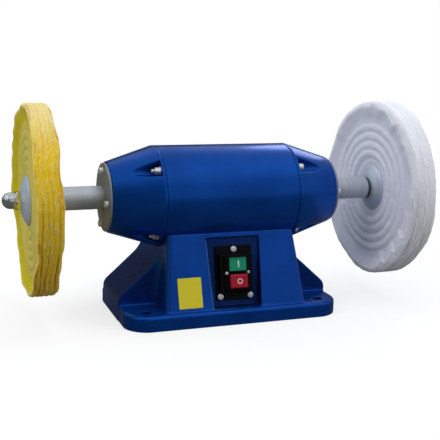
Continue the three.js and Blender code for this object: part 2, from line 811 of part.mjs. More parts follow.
// Laminated rotor with its cast end rings
function rotorCore() {
  const bore = rotorShaftRadius + seatGap;
  const half = coreLength / 2;
  const end = half + endRingLength;
  return turned([
    [-end, bore], [-end, endRingRadius], [-half, endRingRadius], [-half, rotorRadius],
    [half, rotorRadius], [half, endRingRadius], [end, endRingRadius], [end, bore], [-end, bore],
  ], innerFacets);
}

// Laminated stator, notched where the tie bolts pass
function statorCore() {
  const half = coreLength / 2;
  const core = ring(rotorRadius + airGap, statorRadius, -half, half, mediumFacets);
  const notch = bar(tieRadius + airGap + seatGap, -half - overrun, half + overrun, smallFacets);
  return core.subtract(joined(atTies(notch)));
}

// Coil heads beyond one end of the stator
function endWinding() {
  const start = coreLength / 2 + seatGap;
  const middle = windingInner + windingWall / 2;
  const arc = Array.from({ length: cornerSteps + 1 }, (_, i) => {
    const angle = (i * Math.PI) / cornerSteps;
    return [start + windingLength - windingWall / 2 + (windingWall / 2) * Math.sin(angle),
      middle - (windingWall / 2) * Math.cos(angle)];
  });
  return turned([
    [start, windingInner], ...arc, [start, windingInner + windingWall], [start, windingInner],
  ], innerFacets);
}

// Clamping flange: a cone from its nose to its rim, dished where it faces the wheel
function flange() {
  const bore = shaftRadius + seatGap;
  const face = flangeDepth;
  return turned([
    [0, bore], [0, flangeNoseRadius], [face - flangeRim, flangeRadius], [face, flangeRadius],
    [face, flangeRadius - flangeLip], [face - flangeDish, flangeRadius - flangeLip - flangeDish],
    [face - flangeDish, bore], [0, bore],
  ], mediumFacets);
}

// Cloth wheel: a quilted hub between its stitch rings, and loose folds that flare towards the rim
function buffingWheel(folds) {
  const middle = hubStart + hubThickness / 2;
  const bore = shaftRadius + seatGap;
  const quilt = stitchShares.flatMap((share, i) => {
    const next = stitchShares[i + 1];
    return next ? [[share, 1], [(share + next) / 2, 0]] : [[share, 1]];
  });
  // Half thickness at a share of the radius, from the hub's at the flange to the rim's at the edge
  const halfAt = (share) => THREE.MathUtils.lerp(hubThickness, rimThickness,
    THREE.MathUtils.smoothstep(share, flareStartShare, 1)) / 2;
  const looseShares = [(foldStartShare + rimEdgeShare) / 2, rimEdgeShare];
  const face = [
    [bore, hubThickness / 2], [flangeRadius, hubThickness / 2],
    ...quilt.map(([share, groove]) => (
      [share * wheelRadius, halfAt(share) - groove * quiltDepthShare * wheelRadius / 2])),
    ...looseShares.map((share) => [share * wheelRadius, halfAt(share)]),
  ];
  const tip = [[wheelRadius, halfAt(0)]];
  const side = [...face, ...tip];
  const section = [...side, ...side.map(([radius, half]) => [radius, -half]).reverse()];
  const places = [];
  for (let spoke = 0; spoke < wheelFacets; spoke += 1) {
    const angle = (spoke * 2 * Math.PI) / wheelFacets;
    const fold = Math.cos(folds.many * angle + folds.phase) + Math.sin(folds.few * angle);
    section.forEach(([radius, half]) => {
      const share = radius / wheelRadius;
      const loose = THREE.MathUtils.smoothstep(share, foldStartShare, 1);
      const sway = foldShare * rimThickness * loose * fold / 2;
      const reach = radius * (1 - rimWaveShare * loose * (1 - Math.cos(folds.few * angle)) / 2);
      places.push(middle + half + sway, reach * Math.cos(angle), reach * Math.sin(angle));
    });
  }
  const faces = [];
  const count = section.length;
  for (let spoke = 0; spoke < wheelFacets; spoke += 1) {
    const [here, there] = [spoke * count, ((spoke + 1) % wheelFacets) * count];
    for (let i = 0; i < count; i += 1) {
      const next = (i + 1) % count;
      faces.push(here + i, there + i, here + next, there + i, there + next, here + next);
    }
  }
  const geometry = new THREE.BufferGeometry();
  geometry.setAttribute('position', new THREE.Float32BufferAttribute(places, 3));
  geometry.setIndex(faces);
  return solidOf(geometry);
}

// Domed nut with a chamfered hexagon, bored for the thread
function acornNut() {
  const hexEnd = nutStart + nutHexLength;
  const domeFoot = hexEnd + nutDomeLength - nutDomeRadius;
  const cornerRadius = nutWidth / Math.sqrt(3);
  const dome = Array.from({ length: cornerSteps + 1 }, (_, i) => {
    const angle = (i * Math.PI) / (2 * cornerSteps);
    return [domeFoot + nutDomeRadius * Math.sin(angle), nutDomeRadius * Math.cos(angle)];
  });
  const hexPart = moved(prism(hexagon(nutWidth), nutStart, hexEnd), alongX).intersect(turned([
    [nutStart - overrun, 0], [nutStart - overrun, cornerRadius],
    [hexEnd - nutEdge, cornerRadius], [hexEnd, cornerRadius - 2 * nutEdge], [hexEnd, 0],
  ], mediumFacets));
  const domeStart = nutStart + overrun;
  const domePart = turned([[domeStart, 0], [domeStart, nutDomeRadius], ...dome], mediumFacets);
  const boreEnd = nutStart + threadLength + seatGap;
  const bore = bar(threadRadius + seatGap, nutStart - overrun, boreEnd, innerFacets);
  return hexPart.add(domePart).subtract(bore);
}

// Casing on the recess floor: a flange with a raised box that carries the switch
function switchCasing() {
  const top = casingFlange + casingBoxRise;
  const rim = raised(roundedRectangle(casingWidth, casingHeight, casingCorner), casingCentre);
  const flangePart = prism(rim, seatGap, casingFlange);
  const box = (shrink) => raised(roundedRectangle(
    casingBoxWidth - 2 * shrink, casingBoxHeight - 2 * shrink, casingCorner), casingBoxCentre);
  const boxPart = lofted([[box(0), seatGap + casingWall / 2], [box(casingBoxDraft), top]]);
  const inside = prism(box(casingWall + casingBoxDraft), 0, top - casingWall);
  const holes = postsAt(casingScrewPlaces, casingScrewRadius + seatGap, -overrun, casingFlange + overrun);
  const switchHoles = postsAt(switchScrewPlaces, switchScrewRadius + seatGap, 0, top + overrun);
  return flangePart.add(boxPart).subtract(joined([inside, switchHole(seatGap), ...holes, ...switchHoles]));
}

// Switch: a bezel plate on the casing, with a raised collar and a well for each button, and a body behind
function switchBody() {
  const seat = casingFlange + casingBoxRise + seatGap;
  const top = seat + switchBezel;
  const plate = (width, height) => raised(roundedRectangle(width, height, switchCorner), switchCentre);
  const bezel = prism(plate(switchWidth, switchHeight), seat, top);
  const bodyTop = seat + switchBezel / 2;
  const body = prism(plate(switchBodyWidth, switchBodyHeight), top - switchBodyDepth, bodyTop);
  const collarTop = top + collarRise;
  const collar = roundedRectangle(collarWidth, collarHeight, switchCorner);
  const collars = buttonCentres.map((centre) => prism(raised(collar, centre), bodyTop, collarTop));
  const well = roundedRectangle(buttonWidth + 2 * buttonGap, buttonHeight + 2 * buttonGap, buttonCorner);
  const wellFloor = top - buttonSink - buttonTravel - seatGap;
  const wells = buttonCentres.map((centre) => prism(raised(well, centre), wellFloor, collarTop + overrun));
  const holes = postsAt(switchScrewPlaces, switchScrewRadius + seatGap, seat - overrun, top + overrun);
  const seats = postsAt(switchScrewPlaces, switchHeadRadius + seatGap, top, collarTop + overrun);
  return joined([bezel, body, ...collars]).subtract(joined([...wells, ...holes, ...seats]));
}

// Button heights up the slope: the on button above, the off button below
const buttonCentres = [switchCentre + buttonSpacing / 2, switchCentre - buttonSpacing / 2];

// Push button with a chamfered rim, standing in its well
function pushButton(centre, rise, edge) {
  const top = casingFlange + casingBoxRise + seatGap + switchBezel;
  const outline = (shrink) => raised(roundedRectangle(
    buttonWidth - 2 * shrink, buttonHeight - 2 * shrink, buttonCorner, edgeSteps), centre);
  return lofted([
    [outline(0), top - buttonSink], [outline(0), top + rise - edge],
    [outline(edge), top + rise],
  ]);
}

// Sheet cover under the stand, cut round the foot bosses
function bottomCover() {
  const inset = castWall + coverGap;
  const sheet = prism(roundedRectangle(plateLength - 2 * inset, plateDepth - 2 * inset, plateCorner - inset),
    coverRecess, coverTop);
  const cuts = [
    ...postsAt(footHoles, footBossRadius + coverGap, 0, plateHeight),
    ...postsAt(coverScrewPlaces, coverScrewRadius + seatGap, 0, plateHeight),
  ];
  return sheet.subtract(joined(cuts));
}

// Bolt with a hexagon head that holds the tube on the saddle, standing on z = 0
function saddleBolt() {
  const headTop = shaftHeight - tubeRadius - seatGap - castWall - seatGap;
  const tip = shaftHeight - tubeRadius + tubeWall;
  const head = prism(hexagon(saddleHeadWidth), headTop - saddleHeadHeight, headTop);
  return head.add(post(saddleBoltRadius, headTop - saddleHeadHeight, tip, smallFacets));
}

// Motor tube, drilled for the two saddle bolts
function motorTube() {
  const tube = ring(tubeRadius - tubeWall, tubeRadius, -tubeEnd, tubeEnd, largeFacets);
  const holes = postsAt(saddleBoltPlaces, saddleBoltRadius + seatGap, -tubeRadius - overrun, 0);
  return tube.subtract(joined(holes));
}

// Run capacitor lying along X on the bottom cover
function runCapacitor() {
  const half = capacitorLength / 2;
  return turned([
    [-half, 0], [-half, capacitorRadius - capacitorEdge], [-half + capacitorEdge, capacitorRadius],
    [half, capacitorRadius], [half, 0],
  ], innerFacets);
}

// Strap over the capacitor, with a foot on each side
function capacitorClamp() {
  const inner = capacitorRadius + seatGap;
  const outer = inner + clampThickness;
  const loop = ring(inner, outer, -clampWidth / 2, clampWidth / 2, innerFacets);
  const foot = (side) => shifted(prism(roundedRectangle(clampWidth, clampFoot, 0), 0, clampThickness),
    0, side * (outer + clampFoot / 2 - clampThickness), -inner);
  const leg = (side) => shifted(prism(roundedRectangle(clampWidth, clampThickness, 0), -inner, 0),
    0, side * (inner + clampThickness / 2), 0);
  const lowerHalf = prism(roundedRectangle(2 * clampWidth, 2 * outer + overrun, 0), -outer - overrun, 0);
  return joined([loop.subtract(lowerHalf), foot(1), foot(-1), leg(1), leg(-1)]);
}

// Cable gland screwed into the back wall, with a clear bore
function cableGland() {
  const hexTop = seatGap + glandHexLength;
  const hex = prism(hexagon(glandHexWidth), seatGap, hexTop);
  const hexMiddle = seatGap + glandHexLength / 2;
  const tip = hexTop + glandNoseLength;
  const nose = moved(turned([
    [-glandShankLength, 0], [-glandShankLength, glandShankRadius], [hexMiddle, glandShankRadius],
    [hexMiddle, glandNoseRadius], [hexTop + glandNoseLength / 2, glandNoseRadius],
    [tip, (glandBoreRadius + glandNoseRadius) / 2], [tip, 0],
  ], innerFacets), new THREE.Matrix4().makeRotationY(-Math.PI / 2));
  const bore = post(glandBoreRadius, -glandShankLength - overrun, tip + overrun, smallFacets);
  return hex.add(nose).subtract(bore);
}

const machine = new THREE.Group();

// Stand, with its cover and what is fixed inside it
piece(machine, 'base_casting', baseCasting(), paint);
piece(machine, 'bottom_cover', bottomCover(), darkSheet);
coverScrewPlaces.forEach(([x, y], i) => {
  const screw = panScrew(coverScrewRadius, coverScrewLength, coverHeadRadius, coverHeadHeight);
  const mesh = piece(machine, `cover_screw_${i + 1}`, screw, zinc);
  mesh.position.set(x, y, coverRecess - seatGap);
  mesh.rotation.x = Math.PI;
});
saddleBoltPlaces.forEach(([x, y], i) => {
  piece(machine, `saddle_bolt_${i + 1}`, saddleBolt(), zinc).position.set(x, y, 0);
});
const capacitorPlace = new THREE.Vector3(
  capacitorX, capacitorY, coverTop + 2 * seatGap + capacitorRadius);
piece(machine, 'run_capacitor', runCapacitor(), creamPlastic).position.copy(capacitorPlace);
piece(machine, 'capacitor_clamp', capacitorClamp(), zinc).position.copy(capacitorPlace);
piece(machine, 'cable_gland', cableGland(), blackPlastic).applyMatrix4(glandFrame);

// Switch panel, placed in the plane of the recess floor
const panel = new THREE.Group();
panel.applyMatrix4(panelFrame);
machine.add(panel);
piece(panel, 'switch_casing', switchCasing(), blackPlastic);
casingScrewPlaces.forEach(([x, y], i) => {
  const screw = panScrew(casingScrewRadius, casingScrewLength, casingHeadRadius, casingHeadHeight);
  piece(panel, `casing_screw_${i + 1}`, screw, zinc).position.set(x, y, casingFlange + seatGap);
});
piece(panel, 'switch_body', switchBody(), blackPlastic);
switchScrewPlaces.forEach(([x, y], i) => {
  const screw = panScrew(switchScrewRadius, switchScrewLength, switchHeadRadius, switchHeadHeight);
  piece(panel, `switch_screw_${i + 1}`, screw, zinc)
    .position.set(x, y, casingFlange + casingBoxRise + switchBezel + 2 * seatGap);
});
piece(panel, 'on_button', pushButton(buttonCentres[0], onButtonRise, onButtonEdge), greenPlastic);
piece(panel, 'off_button', pushButton(buttonCentres[1], offButtonRise, offButtonEdge), redPlastic);

// Motor on the shaft line
const motor = new THREE.Group();
motor.position.z = shaftHeight;
machine.add(motor);
piece(motor, 'motor_tube', motorTube(), paint);
piece(motor, 'stator_core', statorCore(), coreSteel);
piece(motor, 'rotor_core', rotorCore(), coreSteel);
piece(motor, 'spindle_shaft', spindleShaft(), satinSteel);
const [bolts, nuts] = [atTies(tieBolt()), atTies(tieNut())];
bolts.forEach((bolt, i) => piece(motor, `tie_bolt_${i + 1}`, bolt, zinc));
nuts.forEach((nut, i) => piece(motor, `tie_bolt_nut_${i + 1}`, nut, zinc));

// The two ends of the shaft line, each built outwards along X and the left one turned about
const ends = [
  { side: 'right', turn: 0, capTurn: rightCapTurn, cloth: whiteCloth, folds: whiteFolds },
  { side: 'left', turn: Math.PI, capTurn: leftCapTurn, cloth: yellowCloth, folds: yellowFolds },
];
ends.forEach(({ side, turn, capTurn, cloth, folds }) => {
  const end = new THREE.Group();
  end.rotation.z = turn;
  motor.add(end);
  piece(end, `${side}_end_bell`, withCapHoles(endBell(), capTurn), paint);
  piece(end, `${side}_end_winding`, endWinding(), copper);
  piece(end, `${side}_bearing_outer_ring`, bearingOuterRing(), satinSteel);
  piece(end, `${side}_bearing_inner_ring`, bearingInnerRing(), satinSteel);
  piece(end, `${side}_bearing_cap`, bearingCap(capTurn), capGrey);
  capScrewPlaces(capTurn).forEach(([y, z], i) => {
    piece(end, `${side}_cap_screw_${i + 1}`, capScrew(), zinc).position.set(0, y, z);
  });
  piece(end, `${side}_spacer_sleeve`,
    ring(shaftRadius + seatGap, sleeveRadius, sleeveStart, sleeveEnd, mediumFacets), satinSteel);
  piece(end, `${side}_inner_flange`, flange(), satinSteel).position.x = innerFlangeStart;
  piece(end, `${side}_buffing_wheel`, buffingWheel(folds), cloth);
  const outer = piece(end, `${side}_outer_flange`, flange(), satinSteel);
  outer.position.x = outerFlangeStart + flangeDepth;
  outer.rotation.z = Math.PI;
  piece(end, `${side}_acorn_nut`, acornNut(), chrome);
});

export default machine;
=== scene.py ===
"""Looks of a bench polishing machine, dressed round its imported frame.

The frame's axes hold here: X along the shaft towards the white wheel, the switch facing -Y, Z up, and
the floor at zero. Shapes are worked out in millimetres and become metres when a mesh is made.
"""

import logging
import math
from collections.abc import Callable, Mapping, Sequence
from dataclasses import dataclass
from enum import Enum
from functools import cache

import bmesh
import bpy
import numpy as np
from mathutils import Matrix, Vector


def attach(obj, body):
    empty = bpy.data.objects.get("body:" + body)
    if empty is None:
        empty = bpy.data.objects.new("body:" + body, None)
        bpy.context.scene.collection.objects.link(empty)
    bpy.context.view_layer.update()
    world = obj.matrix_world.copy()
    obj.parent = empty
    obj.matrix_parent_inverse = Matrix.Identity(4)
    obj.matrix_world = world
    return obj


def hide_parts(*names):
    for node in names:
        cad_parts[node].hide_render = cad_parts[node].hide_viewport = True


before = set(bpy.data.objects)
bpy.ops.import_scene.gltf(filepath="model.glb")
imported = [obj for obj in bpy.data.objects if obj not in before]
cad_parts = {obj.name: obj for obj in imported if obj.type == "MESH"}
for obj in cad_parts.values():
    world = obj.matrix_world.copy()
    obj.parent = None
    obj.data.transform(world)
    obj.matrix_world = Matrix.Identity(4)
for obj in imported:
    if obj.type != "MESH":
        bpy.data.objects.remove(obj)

Array = np.ndarray
Socket = bpy.types.NodeSocket
Material = bpy.types.Material
Piece = bpy.types.Object
Pair = tuple[float, float]
Triple = tuple[float, float, float]
Colour = tuple[float, float, float, float]
Form = Callable[[Array, Array, Array], Array]
Rings = tuple[Array, Array, Array | float]

MM = 0.001
SHAFT_HEIGHT = 167.498
AROUND = 96
BLACK = (0.0, 0.0, 0.0, 1.0)
WHITE = (1.0, 1.0, 1.0, 1.0)
log = logging.getLogger("polisher")


class Side(Enum):
    """An end of the shaft, with the sign of its X."""

    LEFT = -1
    RIGHT = 1

    @property
    def word(self) -> str:
        """Name of the side as the pieces use it."""
        return self.name.lower()


class Body(Enum):
    """A moving body of the frame."""

    STAND = "stand"
    SPINDLE = "spindle"
    ON_BUTTON = "on_button"
    OFF_BUTTON = "off_button"


# ---------------------------------------------------------------- shader sums


def math_node(operation: str, swapped: bool = False) -> Callable[["Value", "Value | float"], "Value"]:
    """Method of a value that adds a Math node over it and another number, swapped or not."""
    def method(self: "Value", other: "Value | float") -> "Value":
        """Result of the operation."""
        return self.nodes.sum(operation, *((other, self) if swapped else (self, other)))

    return method


@dataclass(frozen=True)
class Value:
    """A number that varies over a surface, so that shader sums read as Python."""

    nodes: "Nodes"
    socket: Socket

    __add__ = __radd__ = math_node("ADD")
    __mul__ = math_node("MULTIPLY")
    __sub__, __rsub__ = math_node("SUBTRACT"), math_node("SUBTRACT", swapped=True)
    __pow__ = math_node("POWER")
    larger = math_node("MAXIMUM")

    def __neg__(self) -> "Value":
        """This with its sign turned."""
        return self * -1.0

    def sine(self) -> "Value":
        """Sine of an angle in radians."""
        return self.nodes.sum("SINE", self)

    def waves(self) -> "Value":
        """Sine of an angle in radians, brought to 0 to 1."""
        return self.sine() * 0.5 + 0.5

    def size(self) -> "Value":
        """Value without its sign."""
        return self.nodes.sum("ABSOLUTE", self)

    def capped(self) -> "Value":
        """This, or 1 where it is more."""
        return self.nodes.sum("MINIMUM", self, 1.0)

    def step(self, low: float, high: float) -> "Value":
        """Smooth step of the value, by the cubic 3t2 - 2t3 of its share t of the way.

        Args:
            low: Where the result is 0.
            high: Where the result is 1; where it lies below low, the step falls.

        Returns:
            A value from 0 to 1.
        """
        ends = (low, high, 0.0, 1.0) if high > low else (high, low, 1.0, 0.0)
        made = self.nodes.node("ShaderNodeMapRange", {"interpolation_type": "SMOOTHSTEP"},
                               {0: self, 1: ends[0], 2: ends[1], 3: ends[2], 4: ends[3]})
        return self.nodes.value(made.outputs[0])


Input = Value | Socket | float | Sequence[float]


class Nodes:
    """A node tree that starts empty."""

    def __init__(self, tree: bpy.types.NodeTree) -> None:
        """Keeps and empties the tree of a material or of the world."""
        self.tree = tree
        self.tree.nodes.clear()

    def feed(self, socket: Socket, given: Input) -> None:
        """Links an input, or sets it.

        Args:
            socket: The input.
            given: A value or an output to link, or else a plain number, vector or colour.
        """
        given = given.socket if isinstance(given, Value) else given
        if isinstance(given, Socket):
            self.tree.links.new(given, socket)
        else:
            socket.default_value = given

    def node(self, kind: str, settings: Mapping[str, str] | None = None,
             sockets: Mapping[str | int, Input] | None = None) -> bpy.types.Node:
        """Makes one node.

        Args:
            kind: Blender's type of the node.
            settings: Its properties.
            sockets: Values or links for its inputs, by name or number.

        Returns:
            The node.
        """
        made = self.tree.nodes.new(kind)
        for key, setting in (settings or {}).items():
            setattr(made, key, setting)
        for key, given in (sockets or {}).items():
            self.feed(made.inputs[key], given)
        return made

    def value(self, socket: Socket) -> Value:
        """Wraps an output as a number."""
        return Value(self, socket)

    def sum(self, operation: str, *terms: Value | float) -> Value:
        """Adds a Math node over the terms."""
        made = self.node("ShaderNodeMath", {"operation": operation}, dict(enumerate(terms)))
        return self.value(made.outputs[0])

    def parts(self, vector: Socket) -> tuple[Value, Value, Value]:
        """Splits a vector into its three numbers."""
        made = self.node("ShaderNodeSeparateXYZ", sockets={0: vector})
        return tuple(self.value(output) for output in made.outputs)

    def ray(self, kind: str) -> Value:
        """1 for rays of a kind, such as Camera, and 0 for others."""
        return self.value(self.node("ShaderNodeLightPath").outputs[f"Is {kind} Ray"])

    def blend(self, share: Value, first: Socket, second: Socket) -> Socket:
        """Blends two shaders, all first at share 0 and all second at share 1."""
        return self.node("ShaderNodeMixShader", sockets={0: share, 1: first, 2: second}).outputs[0]


class Shader(Nodes):
    """Node tree of one finish."""

    def __init__(self, name: str) -> None:
        """Starts a material with a Principled surface.

        Args:
            name: Name of the material.
        """
        self.material = bpy.data.materials.new(name)
        self.material.use_nodes = True
        super().__init__(self.material.node_tree)
        self.surface = self.node("ShaderNodeBsdfPrincipled")
        self.output = self.node("ShaderNodeOutputMaterial", sockets={"Surface": self.surface.outputs[0]})
        self.place = self.node("ShaderNodeTexCoord").outputs["Object"]

    def noise(self, scale: float, detail: float = 2.0, roughness: float = 0.5,
              where: Socket | None = None) -> Value:
        """Noise from 0 to 1.

        Args:
            scale: Cells for each unit of the coordinates.
            detail: How many finer copies are added.
            roughness: How strong the finer copies are.
            where: Coordinates, the piece's own ones if none are given.

        Returns:
            The noise.
        """
        made = self.node("ShaderNodeTexNoise", sockets={
            "Vector": where or self.place, "Scale": scale, "Detail": detail, "Roughness": roughness})
        return self.value(made.outputs[0])

    def streaks(self, scales: Triple, detail: float, roughness: float) -> Value:
        """Noise whose cells are stretched, from the piece's own coordinates times a factor on each axis."""
        made = self.node("ShaderNodeVectorMath", {"operation": "MULTIPLY"}, {0: self.place, 1: scales})
        return self.noise(1.0, detail, roughness, made.outputs[0])

    def round_shaft(self) -> tuple[Value, Value]:
        """Measures every point from the shaft line.

        Returns:
            The place along the shaft, and the distance from it: the root of the sum of the squares of the
            places across and above it.
        """
        x, y, z = self.parts(self.place)
        rise = z - SHAFT_HEIGHT * MM
        return x, (y * y + rise * rise) ** 0.5

    def spots(self, scale: float) -> Value:
        """Distance to the nearest of scattered points, for specks and pits."""
        made = self.node("ShaderNodeTexVoronoi", sockets={"Vector": self.place, "Scale": scale})
        return self.value(made.outputs["Distance"])

    def attribute(self, name: str) -> Value:
        """A number kept on the mesh."""
        made = self.node("ShaderNodeAttribute", {"attribute_name": name})
        return self.value(made.outputs["Fac"])

    def mix(self, share: Input, first: Input, second: Input) -> Socket:
        """Blends two colours, all first at share 0 and all second at share 1."""
        made = self.node("ShaderNodeMix", {"data_type": "RGBA"}, {0: share, 6: first, 7: second})
        return made.outputs[2]

    def bump(self, height: Value, depth: float) -> Socket:
        """Normal of a surface whose height of 1 stands that many millimetres proud."""
        made = self.node("ShaderNodeBump", sockets={
            "Strength": 1.0, "Distance": depth * MM, "Height": height})
        return made.outputs[0]

    def dress(self, **inputs: Input) -> Material:
        """Sets the surface's sockets and hands the material over.

        Args:
            inputs: Values or links by the socket's name, with _ for a space.

        Returns:
            The material.
        """
        for key, given in inputs.items():
            self.feed(self.surface.inputs[key.replace("_", " ")], given)
        return self.material


def colour(code: str) -> Colour:
    """Linear colour of a screen code.

    Args:
        code: Six digits, two each for red, green and blue.

    Returns:
        The colour with an alpha of 1.
    """
    screen = np.array([int(code[i:i + 2], 16) for i in (0, 2, 4)]) / 255
    linear = np.where(screen <= 0.04045, screen / 12.92, ((screen + 0.055) / 1.055) ** 2.4)
    return (*linear.tolist(), 1.0)


# ---------------------------------------------------------------- finishes


@dataclass(frozen=True)
class GlossPaint:
    """Thick gloss paint, smooth on sheet and rippled on a casting."""

    name: str
    blue: Colour = colour("0a4aa8")
    deep: Colour = colour("063a8c")
    dust: Colour = colour("2f5ca6")
    dirt_and_painted_shade: Colour = colour("021a4a")
    painted_highlight_tint: Colour = colour("4f7cc4")
    ripple: float = 0.05
    ripple_scale: float = 90.0
    gloss: float = 0.2
    metal: float = 0.64

    def build(self) -> Material:
        """Makes the material: cloudy blue, orange peel, dust specks, painted shade and a painted highlight
        where the mesh marks them.

        Returns:
            The material.
        """
        shader = Shader(self.name)
        cloud = shader.noise(18.0, 3.0).step(0.35, 0.7)
        peel = shader.noise(self.ripple_scale, 2.0, 0.45)
        fine = shader.noise(900.0, 2.0, 0.6)
        speck = shader.spots(160.0).step(0.05, 0.025)
        tint = shader.mix(cloud * 0.55, self.blue, self.deep)
        tint = shader.mix(speck * shader.noise(40.0).step(0.52, 0.6) * 0.35, tint, self.dust)
        # Painted shade darkens where the mesh marks it; a painted highlight lightens a marked edge.
        grime_and_painted_shade, painted_highlight = shader.attribute("grime_and_painted_shade"), shader.attribute("painted_highlight")
        tint = shader.mix(grime_and_painted_shade * 0.8, tint, self.dirt_and_painted_shade)
        tint = shader.mix(painted_highlight * 0.85, tint, self.painted_highlight_tint)
        return shader.dress(
            Base_Color=tint, Roughness=self.gloss + cloud * 0.06 + speck * 0.2,
            Normal=shader.bump(peel + fine * 0.06, self.ripple), Metallic=self.metal,
            Specular_IOR_Level=0.25)


@dataclass(frozen=True)
class TurnedSteel:
    """Steel or aluminium turned on a lathe about the shaft line, with fine tool marks."""

    name: str
    tint: Colour
    dark: Colour
    roughness: float = 0.34
    marks: float = 0.012
    metal: float = 1.0
    painted_shade_band: Pair | None = None
    painted_shade_band_tint: Colour = colour("14161a")
    painted_shade_band_edge: float = 0.4

    def build(self) -> Material:
        """Makes the material: rings of tool marks by place along and out from the shaft, and smears.

        Returns:
            The material.
        """
        shader = Shader(self.name)
        x, reach = shader.round_shaft()

        def rings(scale: float, detail: float, roughness: float) -> Value:
            """Noise that is even all round the shaft."""
            made = shader.node("ShaderNodeCombineXYZ", sockets={0: x * scale, 1: reach * scale, 2: 0.0})
            return shader.noise(1.0, detail, roughness, made.outputs[0])

        ring, broad = rings(2600.0, 3.0, 0.6), rings(240.0, 2.0, 0.5)
        smear = shader.noise(26.0, 4.0, 0.6).step(0.4, 0.75)
        tint = shader.mix(broad.step(0.3, 0.7) * 0.35 + smear * 0.35, self.tint, self.dark)
        # A dark band of painted shade at the sleeve's end, where it meets the flange.
        if self.painted_shade_band:
            start, end = (place * MM for place in self.painted_shade_band)
            band = x.size().step(start, start + self.painted_shade_band_edge * MM)
            band = band * x.size().step(end + self.painted_shade_band_edge * MM, end)
            tint = shader.mix(band * 0.85, tint, self.painted_shade_band_tint)
        return shader.dress(
            Base_Color=tint, Metallic=self.metal, Roughness=self.roughness + smear * 0.14 + ring * 0.06,
            Normal=shader.bump(ring + broad * 0.5, self.marks))


@dataclass(frozen=True)
class PlatedSteel:
    """Plated screws and nuts, from matt zinc to bright chrome."""

    name: str
    bright: Colour
    dull: Colour
    grime_and_painted_shade: Colour = colour("6b6658")
    roughness: float = 0.26
    mottle: float = 0.5
    metal: float = 0.6

    def build(self) -> Material:
        """Makes the material: mottled plating with soiled patches and fine scratches.

        Returns:
            The material.
        """
        shader = Shader(self.name)
        mottle = shader.noise(420.0, 3.0, 0.6).step(0.35, 0.7)
        # Soiled patches at random.
        grime_and_painted_shade = shader.noise(150.0, 2.0).step(0.5, 0.75)
        scratch = shader.streaks((900.0, 5200.0, 2100.0), 2.0, 0.7)
        tint = shader.mix(mottle * self.mottle, self.bright, self.dull)
        tint = shader.mix(grime_and_painted_shade * self.mottle * 0.5, tint, self.grime_and_painted_shade)
        return shader.dress(
            Base_Color=tint, Metallic=self.metal, Roughness=self.roughness + mottle * self.mottle * 0.25,
            Normal=shader.bump(scratch + mottle * 0.6, 0.008))


@dataclass(frozen=True)
class StitchedCloth:
    """Layers of woven cotton; the mesh says where its grooves, seams and rim are, and where it is paler,
    partly frayed and partly painted light.
    """

    name: str
    face: Colour
    rim: Colour
    groove: Colour
    wear_and_painted_light: Colour
    shade: Colour
    seam: float
    sheen: float = 0.2
    wear_and_painted_light_share: float = 0.6
    thread_pitch: float = 0.9
    depth: float = 0.45

    def build(self) -> Material:
        """Makes the material: a straight weave, fuzz, frayed ply edges on the rim, paler patches partly of
        painted light, stains on the rim and grooves darkened with painted shade.

        Returns:
            The material.
        """
        shader = Shader(self.name)
        y, z = shader.parts(shader.place)[1:]
        turn = 2 * math.pi / (self.thread_pitch * MM)
        warp = (y * turn + shader.noise(60.0) * 4.0).sine()
        weft = (z * turn + shader.noise(70.0) * 4.0).sine()
        weave = warp * weft * 0.5 + 0.5
        groove, seam, rim, wear_and_painted_light = (shader.attribute(name) for name in ("groove", "seam", "rim", "wear_and_painted_light"))
        plies = shader.streaks((1500.0, 170.0, 170.0), 3.0, 0.65)
        fuzz = shader.noise(900.0, 3.0, 0.7)
        tufts = shader.noise(420.0, 2.0, 0.6)
        cloud = shader.noise(24.0, 4.0, 0.6)
        stain = shader.noise(55.0, 3.0, 0.65).step(0.5, 0.8)
        tint = shader.mix(rim, self.face, self.rim)
        tint = shader.mix(cloud.step(0.35, 0.8) * 0.3 + weave * (1 - rim) * 0.12, tint, self.shade)
        # Paler where the mesh marks it: partly frayed cloth, partly painted light.
        tint = shader.mix(wear_and_painted_light * self.wear_and_painted_light_share + tufts.step(0.55, 0.7) * rim * 0.2, tint, self.wear_and_painted_light)
        # Darker in the grooves by painted shade; stains and the gaps between tufts darken the rim.
        dirt_and_painted_shade = groove * 0.7 + seam * self.seam + (stain * 0.15 + (1 - tufts.step(0.32, 0.5)) * 0.2) * rim
        tint = shader.mix(dirt_and_painted_shade.capped(), tint, self.groove)
        height = weave * (1 - rim) * 0.45 + (plies * 0.8 + tufts * 1.3) * rim + fuzz * 0.7
        return shader.dress(
            Base_Color=tint, Roughness=0.86 + fuzz * 0.12, Specular_IOR_Level=0.12,
            Sheen_Weight=self.sheen, Sheen_Roughness=0.45, Normal=shader.bump(height, self.depth))


@dataclass(frozen=True)
class MouldedPlastic:
    """Moulded plastic with a fine spark grain."""

    name: str
    tint: Colour
    scuffed: Colour
    roughness: float
    grain: float = 0.02
    specular: float = 0.3

    def build(self) -> Material:
        """Makes the material: grain, slight cloud and scuffed patches.

        Returns:
            The material.
        """
        shader = Shader(self.name)
        grain = shader.noise(2600.0, 2.0, 0.6)
        rub = shader.noise(85.0, 4.0, 0.65).step(0.5, 0.8)
        scratch = shader.streaks((3000.0, 500.0, 400.0), 2.0, 0.7).step(0.62, 0.75)
        tint = shader.mix(rub * 0.3 + scratch * 0.12, self.tint, self.scuffed)
        return shader.dress(
            Base_Color=tint, Roughness=self.roughness + rub * 0.15 + grain * 0.08,
            Normal=shader.bump(grain + scratch * 0.4, self.grain), Specular_IOR_Level=self.specular)


